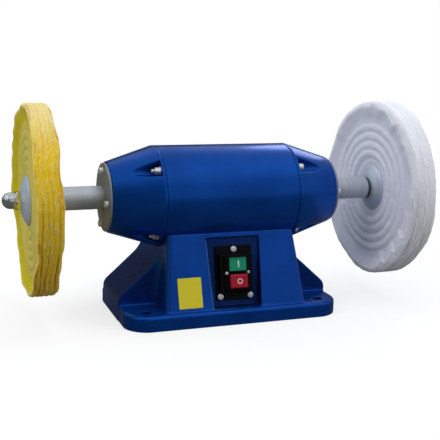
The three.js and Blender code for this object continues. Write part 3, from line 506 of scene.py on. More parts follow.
@dataclass(frozen=True)
class StackedSheets:
    """Varnished steel laminations, stacked along the shaft."""

    name: str = "core_laminations"
    sheet: float = 0.5

    def build(self) -> Material:
        """Makes the material: thin sheets with brown varnish.

        Returns:
            The material.
        """
        shader = Shader(self.name)
        x = shader.parts(shader.place)[0]
        sheet = (x * (2 * math.pi / (self.sheet * MM))).waves()
        varnish = shader.noise(60.0, 3.0).step(0.4, 0.7)
        tint = shader.mix(varnish * 0.6, colour("73757a"), colour("4d4034"))
        return shader.dress(
            Base_Color=shader.mix(sheet * 0.3, tint, colour("26272a")), Metallic=0.8,
            Roughness=0.42 + varnish * 0.2, Normal=shader.bump(sheet, 0.05))


@dataclass(frozen=True)
class CoilWire:
    """Enamelled copper wire, laid round the shaft."""

    name: str = "coil_wire"
    wire: float = 0.9

    def build(self) -> Material:
        """Makes the material: rounds of wire by place along and out from the shaft.

        Returns:
            The material.
        """
        shader = Shader(self.name)
        x, reach = shader.round_shaft()
        wire = ((x + reach) * (2 * math.pi / (self.wire * MM)) + shader.noise(40.0) * 5.0).waves()
        varnish = shader.noise(90.0, 3.0).step(0.45, 0.7)
        tint = shader.mix(wire * 0.5, colour("6b3216"), colour("b8672f"))
        return shader.dress(
            Base_Color=shader.mix(varnish * 0.4, tint, colour("8a4a1c")), Metallic=0.7,
            Roughness=0.3 + varnish * 0.2, Normal=shader.bump(wire, 0.3))


@dataclass(frozen=True)
class RolledSheet:
    """Dark rolled sheet with a brushed grain along X."""

    name: str = "rolled_sheet"
    dark: Colour = colour("303237")
    scaly: Colour = colour("4a4c50")

    def build(self) -> Material:
        """Makes the material: long grain and cloudy scale.

        Returns:
            The material.
        """
        shader = Shader(self.name)
        grain = shader.streaks((60.0, 2400.0, 2400.0), 3.0, 0.6)
        scale = shader.noise(28.0, 4.0, 0.6).step(0.4, 0.7)
        tint = shader.mix(scale * 0.6 + grain * 0.2, self.dark, self.scaly)
        return shader.dress(
            Base_Color=tint, Metallic=0.6, Roughness=0.46 + scale * 0.14, Normal=shader.bump(grain, 0.02))


class Finish(Enum):
    """A finish: what makes its material, and the name of its slot, if any."""

    CAST_PAINT = (GlossPaint("cast_paint", ripple=0.12, ripple_scale=60.0, gloss=0.24), "stand_paint")
    SHELL_PAINT = (GlossPaint("shell_paint", blue=colour("054aa6"), deep=colour("043987")), "motor_paint")
    FLANGE_STEEL = (TurnedSteel("flange_steel", colour("dfe9f8"), colour("b8c4d8"), roughness=0.38,
                                metal=0.55), "flange_steel")
    SLEEVE_STEEL = (TurnedSteel("sleeve_steel", colour("cdd2dc"), colour("adafb6"), metal=0.6,
                                painted_shade_band=(234.4, 239.9)), "turned_steel")
    CAP_STEEL = (TurnedSteel("cap_steel", colour("9597ac"), colour("7c7d90"), roughness=0.46, marks=0.02,
                             metal=0.35), "cap_grey")
    ZINC = (PlatedSteel("zinc_plating", colour("f0f1f2"), colour("b9b9b4"), mottle=0.4), "zinc_screws")
    CHROME = (PlatedSteel("chrome_plating", colour("dfe1e3"), colour("b9bcc0"), roughness=0.09,
                          mottle=0.25, metal=1.0), "nut_chrome")
    BLACK = (MouldedPlastic("black_moulding", colour("040405"), colour("0e0f10"), 0.4, specular=0.12),
             "black_plastic")
    GREEN = (MouldedPlastic("green_moulding", colour("128566"), colour("2c9c7e"), 0.3), "green_plastic")
    RED = (MouldedPlastic("red_moulding", colour("9f1029"), colour("b43045"), 0.28), "red_plastic")
    PALE_GREEN = (MouldedPlastic("pale_green_mark", colour("bfe6cf"), colour("a5cdb6"), 0.4), None)
    PALE_PINK = (MouldedPlastic("pale_pink_mark", colour("f0b9bd"), colour("d99fa4"), 0.4), None)
    CREAM = (MouldedPlastic("cream_moulding", colour("d8d4c6"), colour("bdb8a6"), 0.5), None)
    YELLOW = (MouldedPlastic("yellow_plate", colour("d9cc2c"), colour("c6b62a"), 0.42, grain=0.01), None)
    WHITE_CLOTH = (StitchedCloth(
        "white_cotton", face=colour("e7eafb"), rim=colour("ebedf5"), groove=colour("bab3ac"),
        wear_and_painted_light=colour("f0f2fb"), shade=colour("d7daed"), seam=0.1), "white_cloth")
    YELLOW_CLOTH = (StitchedCloth(
        "yellow_cotton", face=colour("d8c616"), rim=colour("efcb2e"), groove=colour("c07c14"),
        wear_and_painted_light=colour("e6e2c0"), shade=colour("c2aa10"), seam=0.25, sheen=0.06), "yellow_cloth")
    WIRE = (CoilWire(), None)
    SHEETS = (StackedSheets(), None)
    DARK_SHEET = (RolledSheet(), None)

    @property
    @cache
    def material(self) -> Material:
        """Its material, made once, when a piece first asks for it."""
        return self.value[0].build()


# ---------------------------------------------------------------- shapes


def unit(vectors: Array) -> Array:
    """Vectors of length 1 along the given ones, and zero where they have no length."""
    length = np.linalg.norm(vectors, axis=-1, keepdims=True)
    return np.divide(vectors, length, out=np.zeros_like(vectors), where=length > 1e-9)


def smooth(value: Array, low: float, high: float) -> Array:
    """Smooth step from 0 at low to 1 at high: the cubic 3t2 - 2t3 of the share t of the way."""
    t = np.clip((np.asarray(value, float) - low) / (high - low), 0, 1)
    return t * t * (3 - 2 * t)


def bell(value: Array, width: float) -> Array:
    """Bell curve: e to the power of minus the square of the value over its width."""
    return np.exp(-(value / width) ** 2)


def circle(count: int = AROUND) -> Array:
    """Angles in equal steps once round."""
    return np.linspace(0, 2 * np.pi, count, endpoint=False)


def quarter(count: int) -> Array:
    """Angles in equal steps over a quarter turn, both ends among them."""
    return np.linspace(0, np.pi / 2, count)


def rounded(corners: Sequence[Triple]) -> Array:
    """Closed outline whose corners are turned into arcs.

    The centre of an arc lies on the line that halves its corner, as far out as its radius over the sine
    of half the corner's angle. The arc is the spoke to its first touching point, turned in equal steps.

    Args:
        corners: (first, second, radius) of each corner.

    Returns:
        Points of shape (n, 2), without doubled ones.
    """
    data = np.asarray(corners, float)
    tip, radius = data[:, :2], data[:, 2:]
    before, after = unit(np.roll(tip, 1, 0) - tip), unit(np.roll(tip, -1, 0) - tip)
    half = np.arccos(np.clip((before * after).sum(1, keepdims=True), -1, 1)) / 2
    centre = tip + unit(before + after) * radius / np.sin(half)
    spoke = tip + before * radius / np.tan(half) - centre
    side = np.sign(before[:, :1] * after[:, 1:] - before[:, 1:] * after[:, :1])
    angle = -side * (np.pi - 2 * half) * np.linspace(0, 1, 6)
    cos, sin = np.cos(angle)[..., None], np.sin(angle)[..., None]
    normal = np.stack([-spoke[:, 1], spoke[:, 0]], 1)
    points = (centre[:, None] + spoke[:, None] * cos + normal[:, None] * sin).reshape(-1, 2)
    return points[np.linalg.norm(points - np.roll(points, 1, 0), axis=1) > 1e-6]


def rectangle(width: float, height: float, radius: float) -> Array:
    """Outline of a rectangle about the origin with rounded corners, always of equal count.

    Args:
        width: Its size along the first axis.
        height: Its size along the second axis.
        radius: Radius of its corners.

    Returns:
        Points of shape (n, 2): each corner's centre plus the radius times the cosine and sine.
    """
    x, y = width / 2 - radius, height / 2 - radius
    turns = [quarter(7) + turn * np.pi / 2 for turn in range(4)]
    return np.concatenate([np.stack([a + radius * np.cos(turn), b + radius * np.sin(turn)], 1)
                           for a, b, turn in zip((x, -x, -x, x), (y, y, -y, -y), turns)])


def quads(rows: int, columns: int, closed: bool) -> Array:
    """Faces between neighbours on a grid of points that are numbered row by row.

    Args:
        rows: Number of rows.
        columns: Number of columns, of which the last joins the first.
        closed: Whether the last row joins the first.

    Returns:
        Four point numbers for each face.
    """
    row = np.arange(rows if closed else rows - 1)[:, None]
    column = np.arange(columns)[None, :]
    below, beside = (row + 1) % rows, (column + 1) % columns
    return np.stack([row * columns + column, below * columns + column,
                     below * columns + beside, row * columns + beside], -1).reshape(-1, 4)


def mark(mesh: bpy.types.Mesh, marks: Mapping[str, Array]) -> None:
    """Keeps numbers on a mesh's points, by name."""
    for key, numbers in marks.items():
        kept = mesh.attributes.new(key, "FLOAT", "POINT")
        kept.data.foreach_set("value", numbers.astype(np.float32).ravel())


def mesh_of(name: str, points: Array, faces: Array) -> Piece:
    """Makes a smooth mesh object at the origin.

    Args:
        name: Name of the piece.
        points: Places in millimetres, of shape (n, 3).
        faces: Four point numbers for each face.

    Returns:
        The object.
    """
    mesh = bpy.data.meshes.new(name)
    mesh.vertices.add(len(points))
    mesh.vertices.foreach_set("co", (points * MM).astype(np.float32).ravel())
    mesh.loops.add(faces.size)
    mesh.loops.foreach_set("vertex_index", faces.astype(np.int32).ravel())
    mesh.polygons.add(len(faces))
    mesh.polygons.foreach_set("loop_start", np.arange(0, faces.size, 4, dtype=np.int32))
    mesh.update(calc_edges=True)
    mesh.polygons.foreach_set("use_smooth", np.ones(len(mesh.polygons), bool))
    piece = bpy.data.objects.new(name, mesh)
    bpy.context.scene.collection.objects.link(piece)
    return piece


def net(name: str, grid: Array, closed: bool, crease: float = 35.0,
        marks: Mapping[str, Array] | None = None) -> Piece:
    """Makes a piece from rows of points that each go once round it, merges doubled points and turns its
    faces outwards.

    Args:
        name: Name of the piece.
        grid: Places in millimetres, of shape (rows, columns, 3).
        closed: Whether the last row joins the first.
        crease: Angle in degrees above which an edge looks sharp.
        marks: Numbers kept on the points, by name.

    Returns:
        The object.
    """
    piece = mesh_of(name, grid.reshape(-1, 3), quads(*grid.shape[:2], closed))
    mark(piece.data, marks or {})
    tidy = bmesh.new()
    tidy.from_mesh(piece.data)
    bmesh.ops.remove_doubles(tidy, verts=tidy.verts, dist=2e-6)
    bmesh.ops.dissolve_degenerate(tidy, edges=tidy.edges, dist=1e-6)
    bmesh.ops.recalc_face_normals(tidy, faces=tidy.faces)
    tidy.to_mesh(piece.data)
    tidy.free()
    piece.data.set_sharp_from_angle(angle=math.radians(crease))
    return piece


def dress(piece: Piece, body: Body, finish: Finish, *nodes: str) -> None:
    """Gives a piece all that the frame asks for, and logs it.

    Args:
        piece: The piece.
        body: The body that it rides on.
        finish: Its finish.
        nodes: The solids that it stands for.
    """
    piece.data.materials.append(finish.material)
    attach(piece, body.value)
    if nodes:
        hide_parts(*nodes)
    log.info("%s: %d faces, rides on %s", piece.name, len(piece.data.polygons), body.value)


def spun(along: Array, reach: Array, angle: Array) -> Array:
    """Points round the shaft line: (along, reach cos a, reach sin a), raised to the shaft's height."""
    return np.stack(np.broadcast_arrays(
        along, reach * np.cos(angle), SHAFT_HEIGHT + reach * np.sin(angle)), -1)


def turned(name: str, profile: Array, facets: int) -> Piece:
    """Piece turned about the shaft line.

    Args:
        name: Name of the piece.
        profile: Closed outline of points (along, reach); those on the axis close by merging.
        facets: Faces round the shaft.

    Returns:
        The object.
    """
    return net(name, spun(profile[:, :1], profile[:, 1:], circle(facets)), True)


def placed(points: Array, place: Array) -> Array:
    """Points carried by a matrix of shape (4, 4)."""
    return points @ place[:3, :3].T + place[:3, 3]


def stacked(name: str, heights: Array, radii: Array, place: Array, crease: float = 35.0,
            sink: Array | float = 0.0, bored: bool = False) -> Piece:
    """Piece made of rings, each at a height and with its own radius for every direction.

    A point is (radius cos a, radius sin a, height), then carried to its place. The first and last ring
    have no radius, so that they close the piece, or else they meet round its bore.

    Args:
        name: Name of the piece.
        heights: Height of each ring.
        radii: Radius of each ring in each direction, of shape (rings, directions).
        place: Matrix from the piece's own axes to the frame's.
        crease: Angle in degrees above which an edge looks sharp.
        sink: How far each point lies below its ring.
        bored: Whether the last ring joins the first.

    Returns:
        The object.
    """
    angle = circle(radii.shape[1])
    points = np.stack(np.broadcast_arrays(
        radii * np.cos(angle), radii * np.sin(angle), heights[:, None] - sink), -1)
    return net(name, placed(points, place), bored, crease)


def loft(name: str, layers: Sequence[tuple[Array, float]], place: Array, x: float = 0.0,
         y: float = 0.0) -> Piece:
    """Closed piece skinned over outlines at rising levels, both its ends closed to a point.

    Args:
        name: Name of the piece.
        layers: Each outline with its level.
        place: Matrix from the piece's own axes to the frame's.
        x: Where the outlines' middle lies along the first axis.
        y: Where it lies along the second axis.

    Returns:
        The object.
    """
    rings = [np.column_stack([outline + (x, y), np.full(len(outline), level)]) for outline, level in layers]
    ends = [np.repeat(ring.mean(0)[None], len(ring), 0) for ring in (rings[0], rings[-1])]
    return net(name, placed(np.stack([ends[0], *rings, ends[1]]), place), False)


def hexagon(width: float, directions: int = AROUND) -> Array:
    """Radius of a hexagon, measured across its flats, in each direction: half the width over the cosine
    of the angle from the nearest flat's middle."""
    return width / 2 / np.cos(circle(directions) % (np.pi / 3) - np.pi / 6)


def union(first: Array, second: Array, radius: float) -> Array:
    """Distance to two joined solids, with a fillet between them: within the radius of both, the fillet's
    circle takes over from the smaller distance."""
    near = np.hypot(np.maximum(radius - first, 0), np.maximum(radius - second, 0))
    return np.maximum(radius, np.minimum(first, second)) - near


def common(first: Array, second: Array, radius: float) -> Array:
    """Distance to what two solids share, with its edge rounded: the joined form turned inside out."""
    return -union(-first, -second, radius)


def without(first: Array, second: Array, radius: float) -> Array:
    """Distance to the first solid with the second cut out of it, the cut's edge rounded."""
    return common(first, -second, radius)


def slab(x: Array, y: Array, width: float, height: float, radius: float) -> Array:
    """Distance to a rectangle about the origin with rounded corners: outside a corner the length of both
    overshoots, elsewhere the larger of them."""
    over_x, over_y = np.abs(x) - width / 2 + radius, np.abs(y) - height / 2 + radius
    return np.hypot(np.maximum(over_x, 0), np.maximum(over_y, 0)) \
        + np.minimum(np.maximum(over_x, over_y), 0) - radius


def slope_of(form: Form, points: Array) -> Array:
    """How the form's value grows along each axis: its change over a small way about each point."""
    reach = 0.02
    return np.stack([(form(*(points + shift).T) - form(*(points - shift).T)) / (2 * reach)
                     for shift in np.eye(3) * reach], 1)


def skin_of(name: str, form: Form, axes: tuple[Array, Array, Array], place: Array | None = None) -> Piece:
    """Skin of a solid that is given as a signed distance, negative inside.

    Every cell of the grid that the skin passes through gets one point, the mean of where its edges are
    crossed, and every crossed edge gets the face of its four cells. The points then move along the
    form's slope onto the skin itself, and the slope there is their normal.

    Args:
        name: Name of the piece.
        form: The signed distance in millimetres.
        axes: Places of the grid's planes on each axis.
        place: Matrix from the form's axes to the frame's, if they differ.

    Returns:
        The object.
    """
    values = form(*np.meshgrid(*axes, indexing="ij"))
    cells = np.array(values.shape) - 1
    total, count, crossings = np.zeros((*cells, 3)), np.zeros(cells), []
    for axis in range(3):
        others = [(axis + 1) % 3, (axis + 2) % 3]
        low, high, shape = [slice(None)] * 3, [slice(None)] * 3, [1, 1, 1]
        low[axis], high[axis], shape[axis] = slice(None, -1), slice(1, None), -1
        here, there = values[tuple(low)], values[tuple(high)]
        crossed = (here < 0) != (there < 0)
        share = np.divide(here, here - there, out=np.zeros_like(here), where=crossed)
        starts = [line[:-1] if index == axis else line for index, line in enumerate(axes)]
        point = np.stack(np.meshgrid(*starts, indexing="ij"), -1)
        point[..., axis] += share * np.diff(axes[axis]).reshape(shape)
        for first, second in ((0, 0), (0, 1), (1, 0), (1, 1)):
            cut = [slice(None)] * 3
            cut[others[0]] = slice(first, first + cells[others[0]])
            cut[others[1]] = slice(second, second + cells[others[1]])
            count += crossed[tuple(cut)]
            total += point[tuple(cut)] * crossed[tuple(cut)][..., None]
        crossings.append((others, crossed, here < 0))
    used = count > 0
    number = np.full(tuple(cells), -1)
    number[used] = np.arange(used.sum())
    points = total[used] / count[used][:, None]
    faces = []
    for others, crossed, inside in crossings:
        where, steps = np.argwhere(crossed), np.eye(3, dtype=int)[others]
        ring = np.stack([number[tuple((where - a * steps[0] - b * steps[1]).T)]
                         for a, b in ((1, 1), (0, 1), (0, 0), (1, 0))], 1)
        faces.append(np.where(inside[crossed][:, None], ring, ring[:, ::-1]))
    for _ in range(4):
        slope = slope_of(form, points)
        points = points - slope * (form(*points.T) / np.maximum((slope ** 2).sum(1), 0.25))[:, None]
    normals = unit(slope_of(form, points))
    if place is not None:
        points, normals = placed(points, place), normals @ place[:3, :3].T
    piece = mesh_of(name, points, np.concatenate(faces))
    piece.data.normals_split_custom_set_from_vertices(normals.tolist())
    return piece


def grid_line(*spans: Triple) -> Array:
    """Places of grid planes over spans (from, to, pitch) that follow each other."""
    parts = [np.linspace(a, b, max(2, round((b - a) / pitch) + 1)) for a, b, pitch in spans]
    return np.unique(np.round(np.concatenate(parts), 6))


class RoundNoise:
    """Smooth seeded noise that repeats once round the shaft."""

    def __init__(self, seed: int, around: int, across: int) -> None:
        """Draws the values at the corners of its cells: so many round the shaft, and so many across."""
        self.values = np.random.default_rng(seed).uniform(-1, 1, (around, across + 1))

    def __call__(self, turn: Array, place: Array | float) -> Array:
        """Noise from -1 to 1, blended between the corners of a cell with smooth steps.

        Args:
            turn: Share of a turn.
            place: Share of the way across, from 0 to 1.

        Returns:
            The noise at each place.
        """
        around, across = self.values.shape[0], self.values.shape[1] - 1
        u, v = (turn % 1) * around, np.clip(place, 0, 1) * across * 0.999999
        i, j = np.floor(u).astype(int), np.floor(v).astype(int)
        a, b = smooth(u - i, 0, 1), smooth(v - j, 0, 1)
        near, far = (self.values[i % around, row] * (1 - a) + self.values[(i + 1) % around, row] * a
                     for row in (j, j + 1))
        return near * (1 - b) + far * b


# ---------------------------------------------------------------- places


def square_to_shaft(side: Side, x: float, y: float, z: float) -> Array:
    """Matrix that stands a small piece on a face square to the shaft, its third axis pointing out.

    Args:
        side: The end of the shaft that it faces.
        x: Distance from the middle along the shaft.
        y: Place across.
        z: Height above the floor.

    Returns:
        The matrix.
    """
    sign, place = side.value, np.eye(4)
    place[:3, 0], place[:3, 1], place[:3, 2] = (0, sign, 0), (0, 0, 1), (sign, 0, 0)
    place[:3, 3] = (sign * x, y, z)
    return place


def leaning(lean: float, x: float, y: float, z: float) -> Array:
    """Matrix of a plane that leans back: first axis along X, second up the slope, third out of it.

    Args:
        lean: Its angle from upright, in radians.
        x: Place of its origin along the shaft.
        y: Place across.
        z: Height above the floor.

    Returns:
        The matrix from the plane's axes to the frame's.
    """
    place = np.eye(4)
    place[:3, 1] = (0, math.sin(lean), math.cos(lean))
    place[:3, 2] = (0, -math.cos(lean), math.sin(lean))
    place[:3, 3] = (x, y, z)
    return place


@dataclass(frozen=True)
class PanelPlace:
    """Plane of the recess floor."""

    tilt: float = 11.3
    foot_y: float = -75.5
    foot_z: float = 22.0

    @property
    def matrix(self) -> Array:
        """Matrix from the panel's axes to the frame's."""
        return leaning(math.radians(self.tilt), 0, self.foot_y, self.foot_z)

    def at(self, x: float, up: float, out: float) -> Array:
        """Matrix of a small piece that stands on the panel at a place.

        Args:
            x: Place across the panel.
            up: Place up it.
            out: Level over it.

        Returns:
            The matrix.
        """
        place = self.matrix
        place[:3, 3] = placed(np.array([x, up, out]), place)
        return place


# ---------------------------------------------------------------- small fasteners


@dataclass
class Fastener:
    """A plated screw, bolt or nut, made of rings about its own axis."""

    bored = False

    def rings(self) -> Rings:
        """Shapes it.

        Returns:
            The rings' heights, their radii in each direction, and how far the points are sunk.
        """
        raise NotImplementedError

    def build(self, name: str, node: str, place: Array) -> None:
        """Makes the piece and dresses it.

        Args:
            name: Name of the piece.
            node: The solid that it stands for.
            place: Where it stands, pointing along the third axis.
        """
        heights, radii, sink = self.rings()
        radii = np.broadcast_to(radii, (len(heights), AROUND))
        piece = stacked(name, np.asarray(heights), radii, place, sink=sink, bored=self.bored)
        dress(piece, Body.STAND, Finish.ZINC, node)


@dataclass
class PanScrew(Fastener):
    """Pan head screw with a cross recess."""

    radius: float
    height: float

    def rings(self) -> Rings:
        """Shapes the head: a dome over a short rim, sunk along two crossed arms; it rises by a power of
        the sine while its radius falls by the cosine.

        Returns:
            Heights, radii and sink.
        """
        bend, rim = np.linspace(0.12, np.pi / 2, 30), 0.38
        reach = self.radius * np.r_[0, 0.92, 1.0, 1.0, np.cos(bend)][:, None]
        heights = self.height * np.r_[0, 0, 0.06, rim, rim + (1 - rim) * np.sin(bend) ** 0.8]
        across = np.minimum(np.abs(reach * np.cos(circle())), np.abs(reach * np.sin(circle())))
        arm = (1 - smooth(across, self.radius * 0.09, self.radius * 0.15)) \
            * (1 - smooth(reach, self.radius * 0.48, self.radius * 0.6))
        arm[:4] = 0
        return heights, reach, arm * self.height * 0.5


@dataclass
class SocketScrew(Fastener):
    """Socket head screw with a knurled rim."""

    radius: float = 4.7
    height: float = 5.6
    socket: float = 5.0
    depth: float = 3.0
    edge: float = 0.7
    chamfer: float = 0.3
    knurl: float = 0.09

    def rings(self) -> Rings:
        """Shapes the head: knurled rings, a rounded edge and a six sided socket with a cone under it.

        Returns:
            Heights, radii and sink.
        """
        bend, radius, shoulder = quarter(6), self.radius, self.height - self.edge
        rim = radius - self.edge + self.edge * np.cos(bend)
        plain = np.r_[0, radius - self.chamfer, radius, radius, rim]
        heights = np.r_[0, 0, self.chamfer, shoulder, shoulder + self.edge * np.sin(bend)]
        outside = np.repeat(plain[:, None], AROUND, 1)
        outside[2:4] -= np.where(np.arange(AROUND) % 2, 0.0, self.knurl)
        inside = hexagon(self.socket)
        rows = [inside + self.chamfer, inside, inside, inside * 0]
        levels = self.height - np.array([0, self.chamfer, self.depth, self.depth + 0.8])
        return np.concatenate([heights, levels]), np.concatenate([outside, rows]), 0.0


@dataclass
class FlangedNut(Fastener):
    """Hexagon nut with chamfered corners on a round flange, bored for its bolt."""

    bored = True
    width: float = 8.6
    height: float = 5.7
    flange_radius: float = 5.4
    flange: float = 1.8
    bore: float = 2.75
    chamfer: float = 0.3

    def rings(self) -> Rings:
        """Shapes the nut: a ring of sections, whose outside is the smaller of the hexagon and a cone.

        Returns:
            Heights, radii and sink.
        """
        corner, top, wide = self.width / math.sqrt(3), self.flange + self.height, self.flange_radius
        radii = [np.full(AROUND, limit) for limit in (self.bore, wide - self.chamfer, wide, wide)]
        radii += [np.minimum(hexagon(self.width), limit) for limit in (corner, corner, corner - 0.6)]
        radii += [np.full(AROUND, limit) for limit in (self.bore + self.chamfer, self.bore, self.bore)]
        heights = [0, 0, self.chamfer, self.flange - 0.5, self.flange, top - 0.4, top, top,
                   top - self.chamfer, 0]
        return heights, np.array(radii), 0.0


@dataclass
class TieBolt(Fastener):
    """Long bolt: a flanged round head with a slot at one end, a threaded tail at the other."""

    seat: float
    head_radius: float = 4.6
    head: float = 7.2
    flange_radius: float = 5.4
    flange: float = 1.8
    shank: float = 2.5
    tail: float = 113.0
    edge: float = 1.4
    chamfer: float = 0.4

    def rings(self) -> Rings:
        """Shapes the bolt: rings from the tip of the tail to the head, sunk along one straight slot.

        Returns:
            Heights, radii and sink.
        """
        thread = np.linspace(-self.tail + 0.6, -self.seat + 8.0, 53)
        ridge = self.shank - 0.16 * (np.arange(53) % 2)
        flange, top = self.seat + self.flange, self.seat + self.flange + self.head
        bend = quarter(8)
        rim = self.head_radius - self.edge + self.edge * np.cos(bend)
        face = np.linspace(rim[-1], 0, 9)[1:]
        levels = np.r_[-self.tail, -self.tail, thread, self.seat - 0.01, self.seat, flange - self.chamfer,
                       flange, flange, top - self.edge + self.edge * np.sin(bend), np.full(len(face), top)]
        reach = np.r_[0, self.shank - 0.6, ridge, self.shank, self.flange_radius, self.flange_radius,
                      self.flange_radius - self.chamfer, self.head_radius, rim, face][:, None]
        slot = (1 - smooth(np.abs(reach * np.cos(circle())), 0.5, 0.8)) * (levels[:, None] > top - 1.5)
        return levels, reach, slot * 1.8


# ---------------------------------------------------------------- sub-assemblies


@dataclass
class Stand:
    """Cast stand: foot plate, leaning block with a saddle, sloping wings and the switch's recess."""

    plate: Triple = (312.7, 191.2, 21.3)
    plate_corner: float = 34.0
    plate_edge: float = 5.0
    plate_fillet: float = 2.2
    foot: Pair = (206.0, 178.0)
    top: Pair = (186.0, 116.0)
    block_height: float = 119.0
    crown: float = 4.0
    block_corner: float = 7.0
    wing_front: float = 37.0
    wing_back: float = 62.0
    wing_edge: float = 2.2
    wing_root: float = 25.0
    toe_height: float = 33.0
    toe_round: float = 5.0
    slope: float = 41.8
    fillet: float = 12.0
    saddle_radius: float = 70.3
    hole_radius: float = 6.5
    hole_place: Pair = (127.0, 74.0)
    cast_wall: float = 6.0
    cover_top: float = 5.8
    recess_foot: float = 34.5
    recess_top: float = 38.5
    recess_end: float = 115.15
    gland: Triple = (62.0, 84.97, 48.0)
    gland_boss: float = 14.0
    wing_painted_shade: float = 0.6

    @property
    def rise(self) -> float:
        """Height of the block above the foot plate."""
        return self.block_height - self.plate[2]

    def half(self, foot: float, top: float, height: Array) -> Array:
        """Half the block's width or depth, which shrinks evenly from its foot to its top."""
        share = (height - self.plate[2]) / self.rise
        return (foot + (top - foot) * share) / 2

    def lean(self, axis: int) -> float:
        """Angle from upright of the block's ends (axis 0) or of its front and back (axis 1)."""
        return math.atan((self.foot[axis] - self.top[axis]) / 2 / self.rise)

    def block(self, x: Array, y: Array, z: Array) -> Array:
        """Distance to the block: two pairs of leaning planes that meet in round corners, under a crown.

        Args:
            x: Places along the shaft.
            y: Places across.
            z: Heights.

        Returns:
            The distances.
        """
        ends, faces = ((np.abs(way) - self.half(foot, top, z)) * math.cos(self.lean(axis))
                       for axis, (way, foot, top) in enumerate(zip((x, y), self.foot, self.top)))
        walls = common(ends, faces, self.block_corner)
        lid = common(walls, z - self.block_height - self.crown, 3.0)
        return np.maximum(lid, 12.0 - z)

    def wings(self, x: Array, y: Array, z: Array) -> Array:
        """Distance to the wings: under a sloping plane, behind an upright toe, between two sides.

        Args:
            x: Places along the shaft.
            y: Places across.
            z: Heights.

        Returns:
            The distances.
        """
        slope = math.radians(self.slope)
        reach = self.plate[0] / 2 - np.abs(x)
        top = (z - self.toe_height - reach * math.tan(slope)) * math.cos(slope)
        ridge = common(top, -reach, self.toe_round)
        sides = np.maximum(-self.wing_front - y, y - self.wing_back)
        root = self.half(self.top[0], self.top[0], z) - self.wing_root
        return np.maximum(common(ridge, sides, self.wing_edge), root - np.abs(x))

    def recess(self, x: Array, y: Array, z: Array) -> Array:
        """Distance to the recess: between two walls that part upwards, over a level ledge, in front of
        a floor that leans back.

        Args:
            x: Places along the shaft.
            y: Places across.
            z: Heights.

        Returns:
            The distances.
        """
        panel = PanelPlace()
        tilt, up = math.radians(panel.tilt), z - panel.foot_z
        share = up / (self.recess_end - panel.foot_z)
        walls = np.abs(x) - self.recess_foot - (self.recess_top - self.recess_foot) * share
        floor = (y - panel.foot_y - up * math.tan(tilt)) * math.cos(tilt)
        ends = np.maximum(panel.foot_z - z, z - self.recess_end)
        return common(common(walls, ends, 2.0), floor, 1.2)

    def from_hole(self, x: Array, y: Array) -> Array:
        """Distance from the axis of the nearest foot hole."""
        return np.hypot(np.abs(x) - self.hole_place[0], np.abs(y) - self.hole_place[1])

    def form(self, x: Array, y: Array, z: Array) -> Array:
        """Signed distance to the whole casting: plate, block, wings and gland boss joined with fillets,
        less the saddle, the recess, the foot holes and the hollow for the cover.

        Args:
            x: Places along the shaft.
            y: Places across.
            z: Heights.

        Returns:
            The distance, negative inside.
        """
        outline = slab(x, y, self.plate[0], self.plate[1], self.plate_corner)
        plate = common(outline, z - self.plate[2], self.plate_edge)
        body = union(self.block(x, y, z), self.wings(x, y, z), self.fillet)
        body = union(body, plate, self.plate_fillet)
        at, back, height = self.gland
        boss = common(np.hypot(x - at, z - height) - self.gland_boss, y - back, 1.2)
        body = union(body, np.maximum(boss, 60.0 - y), 2.0)
        body = without(body, np.hypot(y, z - SHAFT_HEIGHT) - self.saddle_radius, 0.9)
        body = without(body, self.recess(x, y, z), 1.3)
        spot = self.from_hole(x, y)
        body = without(body, spot - self.hole_radius, 0.8)
        cover = np.maximum(outline + self.cast_wall, z - self.cover_top)
        cover = np.maximum(cover, 2 * self.hole_radius - 1 - spot)
        return np.maximum(np.maximum(body, -cover), -z)

    def painted_light(self, x: Array, y: Array, z: Array) -> dict[str, Array]:
        """Finds where painted shade and a painted highlight go on the paint.

        Args:
            x: Places along the shaft.
            y: Places across.
            z: Heights.

        Returns:
            "grime_and_painted_shade", painted shade in the recess and the foot holes and weaker on the
            wings;
            "painted_highlight", a painted highlight on a bell curve over the left edge of the recess.
        """
        hollow = self.recess(x, y, z)
        # Painted shade: darker in the recess, on the wings past the block and in the foot holes.
        grime_and_painted_shade = (1 - smooth(hollow, 0.2, 1.6)) * smooth(y, -90.0, -84.0)
        past_block = np.abs(x) - self.half(self.foot[0], self.foot[0], z)
        winged = smooth(past_block, -2.0, 6.0) * smooth(z, 22.0, 30.0)
        grime_and_painted_shade = np.maximum(grime_and_painted_shade, self.wing_painted_shade * winged)
        hole = 1 - smooth(self.from_hole(x, y), self.hole_radius - 0.4, self.hole_radius + 0.8)
        # Painted highlight along the left edge of the recess, at its front.
        front = np.abs(y + self.half(self.foot[1], self.top[1], z))
        painted_highlight = bell(hollow - 0.9, 0.8) * (1 - smooth(front, 0.5, 1.8)) * (x < 0) \
            * (1 - smooth(z, self.recess_end - 5.0, self.recess_end - 2.0))
        return {"grime_and_painted_shade": np.maximum(grime_and_painted_shade, hole), "painted_highlight": painted_highlight}

    def build(self) -> None:
        """Makes the casting, on a grid that is finer where its edges are."""
        wide, fine = 2.0, 1.2
        axes = (grid_line((-159, -43, wide), (-43, -30, fine), (-30, 30, wide), (30, 43, fine),
                          (43, 159, wide)),
                grid_line((-98, -54, 1.6), (-54, 54, 2.2), (54, 98, 1.6)),
                grid_line((-1.3, 8, 1.5), (8, 26, 1.4), (26, 126, 1.9)))
        piece = skin_of("stand_casting", self.form, axes)
        places = np.empty(3 * len(piece.data.vertices), np.float32)
        piece.data.vertices.foreach_get("co", places)
        mark(piece.data, self.painted_light(*(places.reshape(-1, 3).T.astype(float) / MM)))
        dress(piece, Body.STAND, Finish.CAST_PAINT, "base_casting")


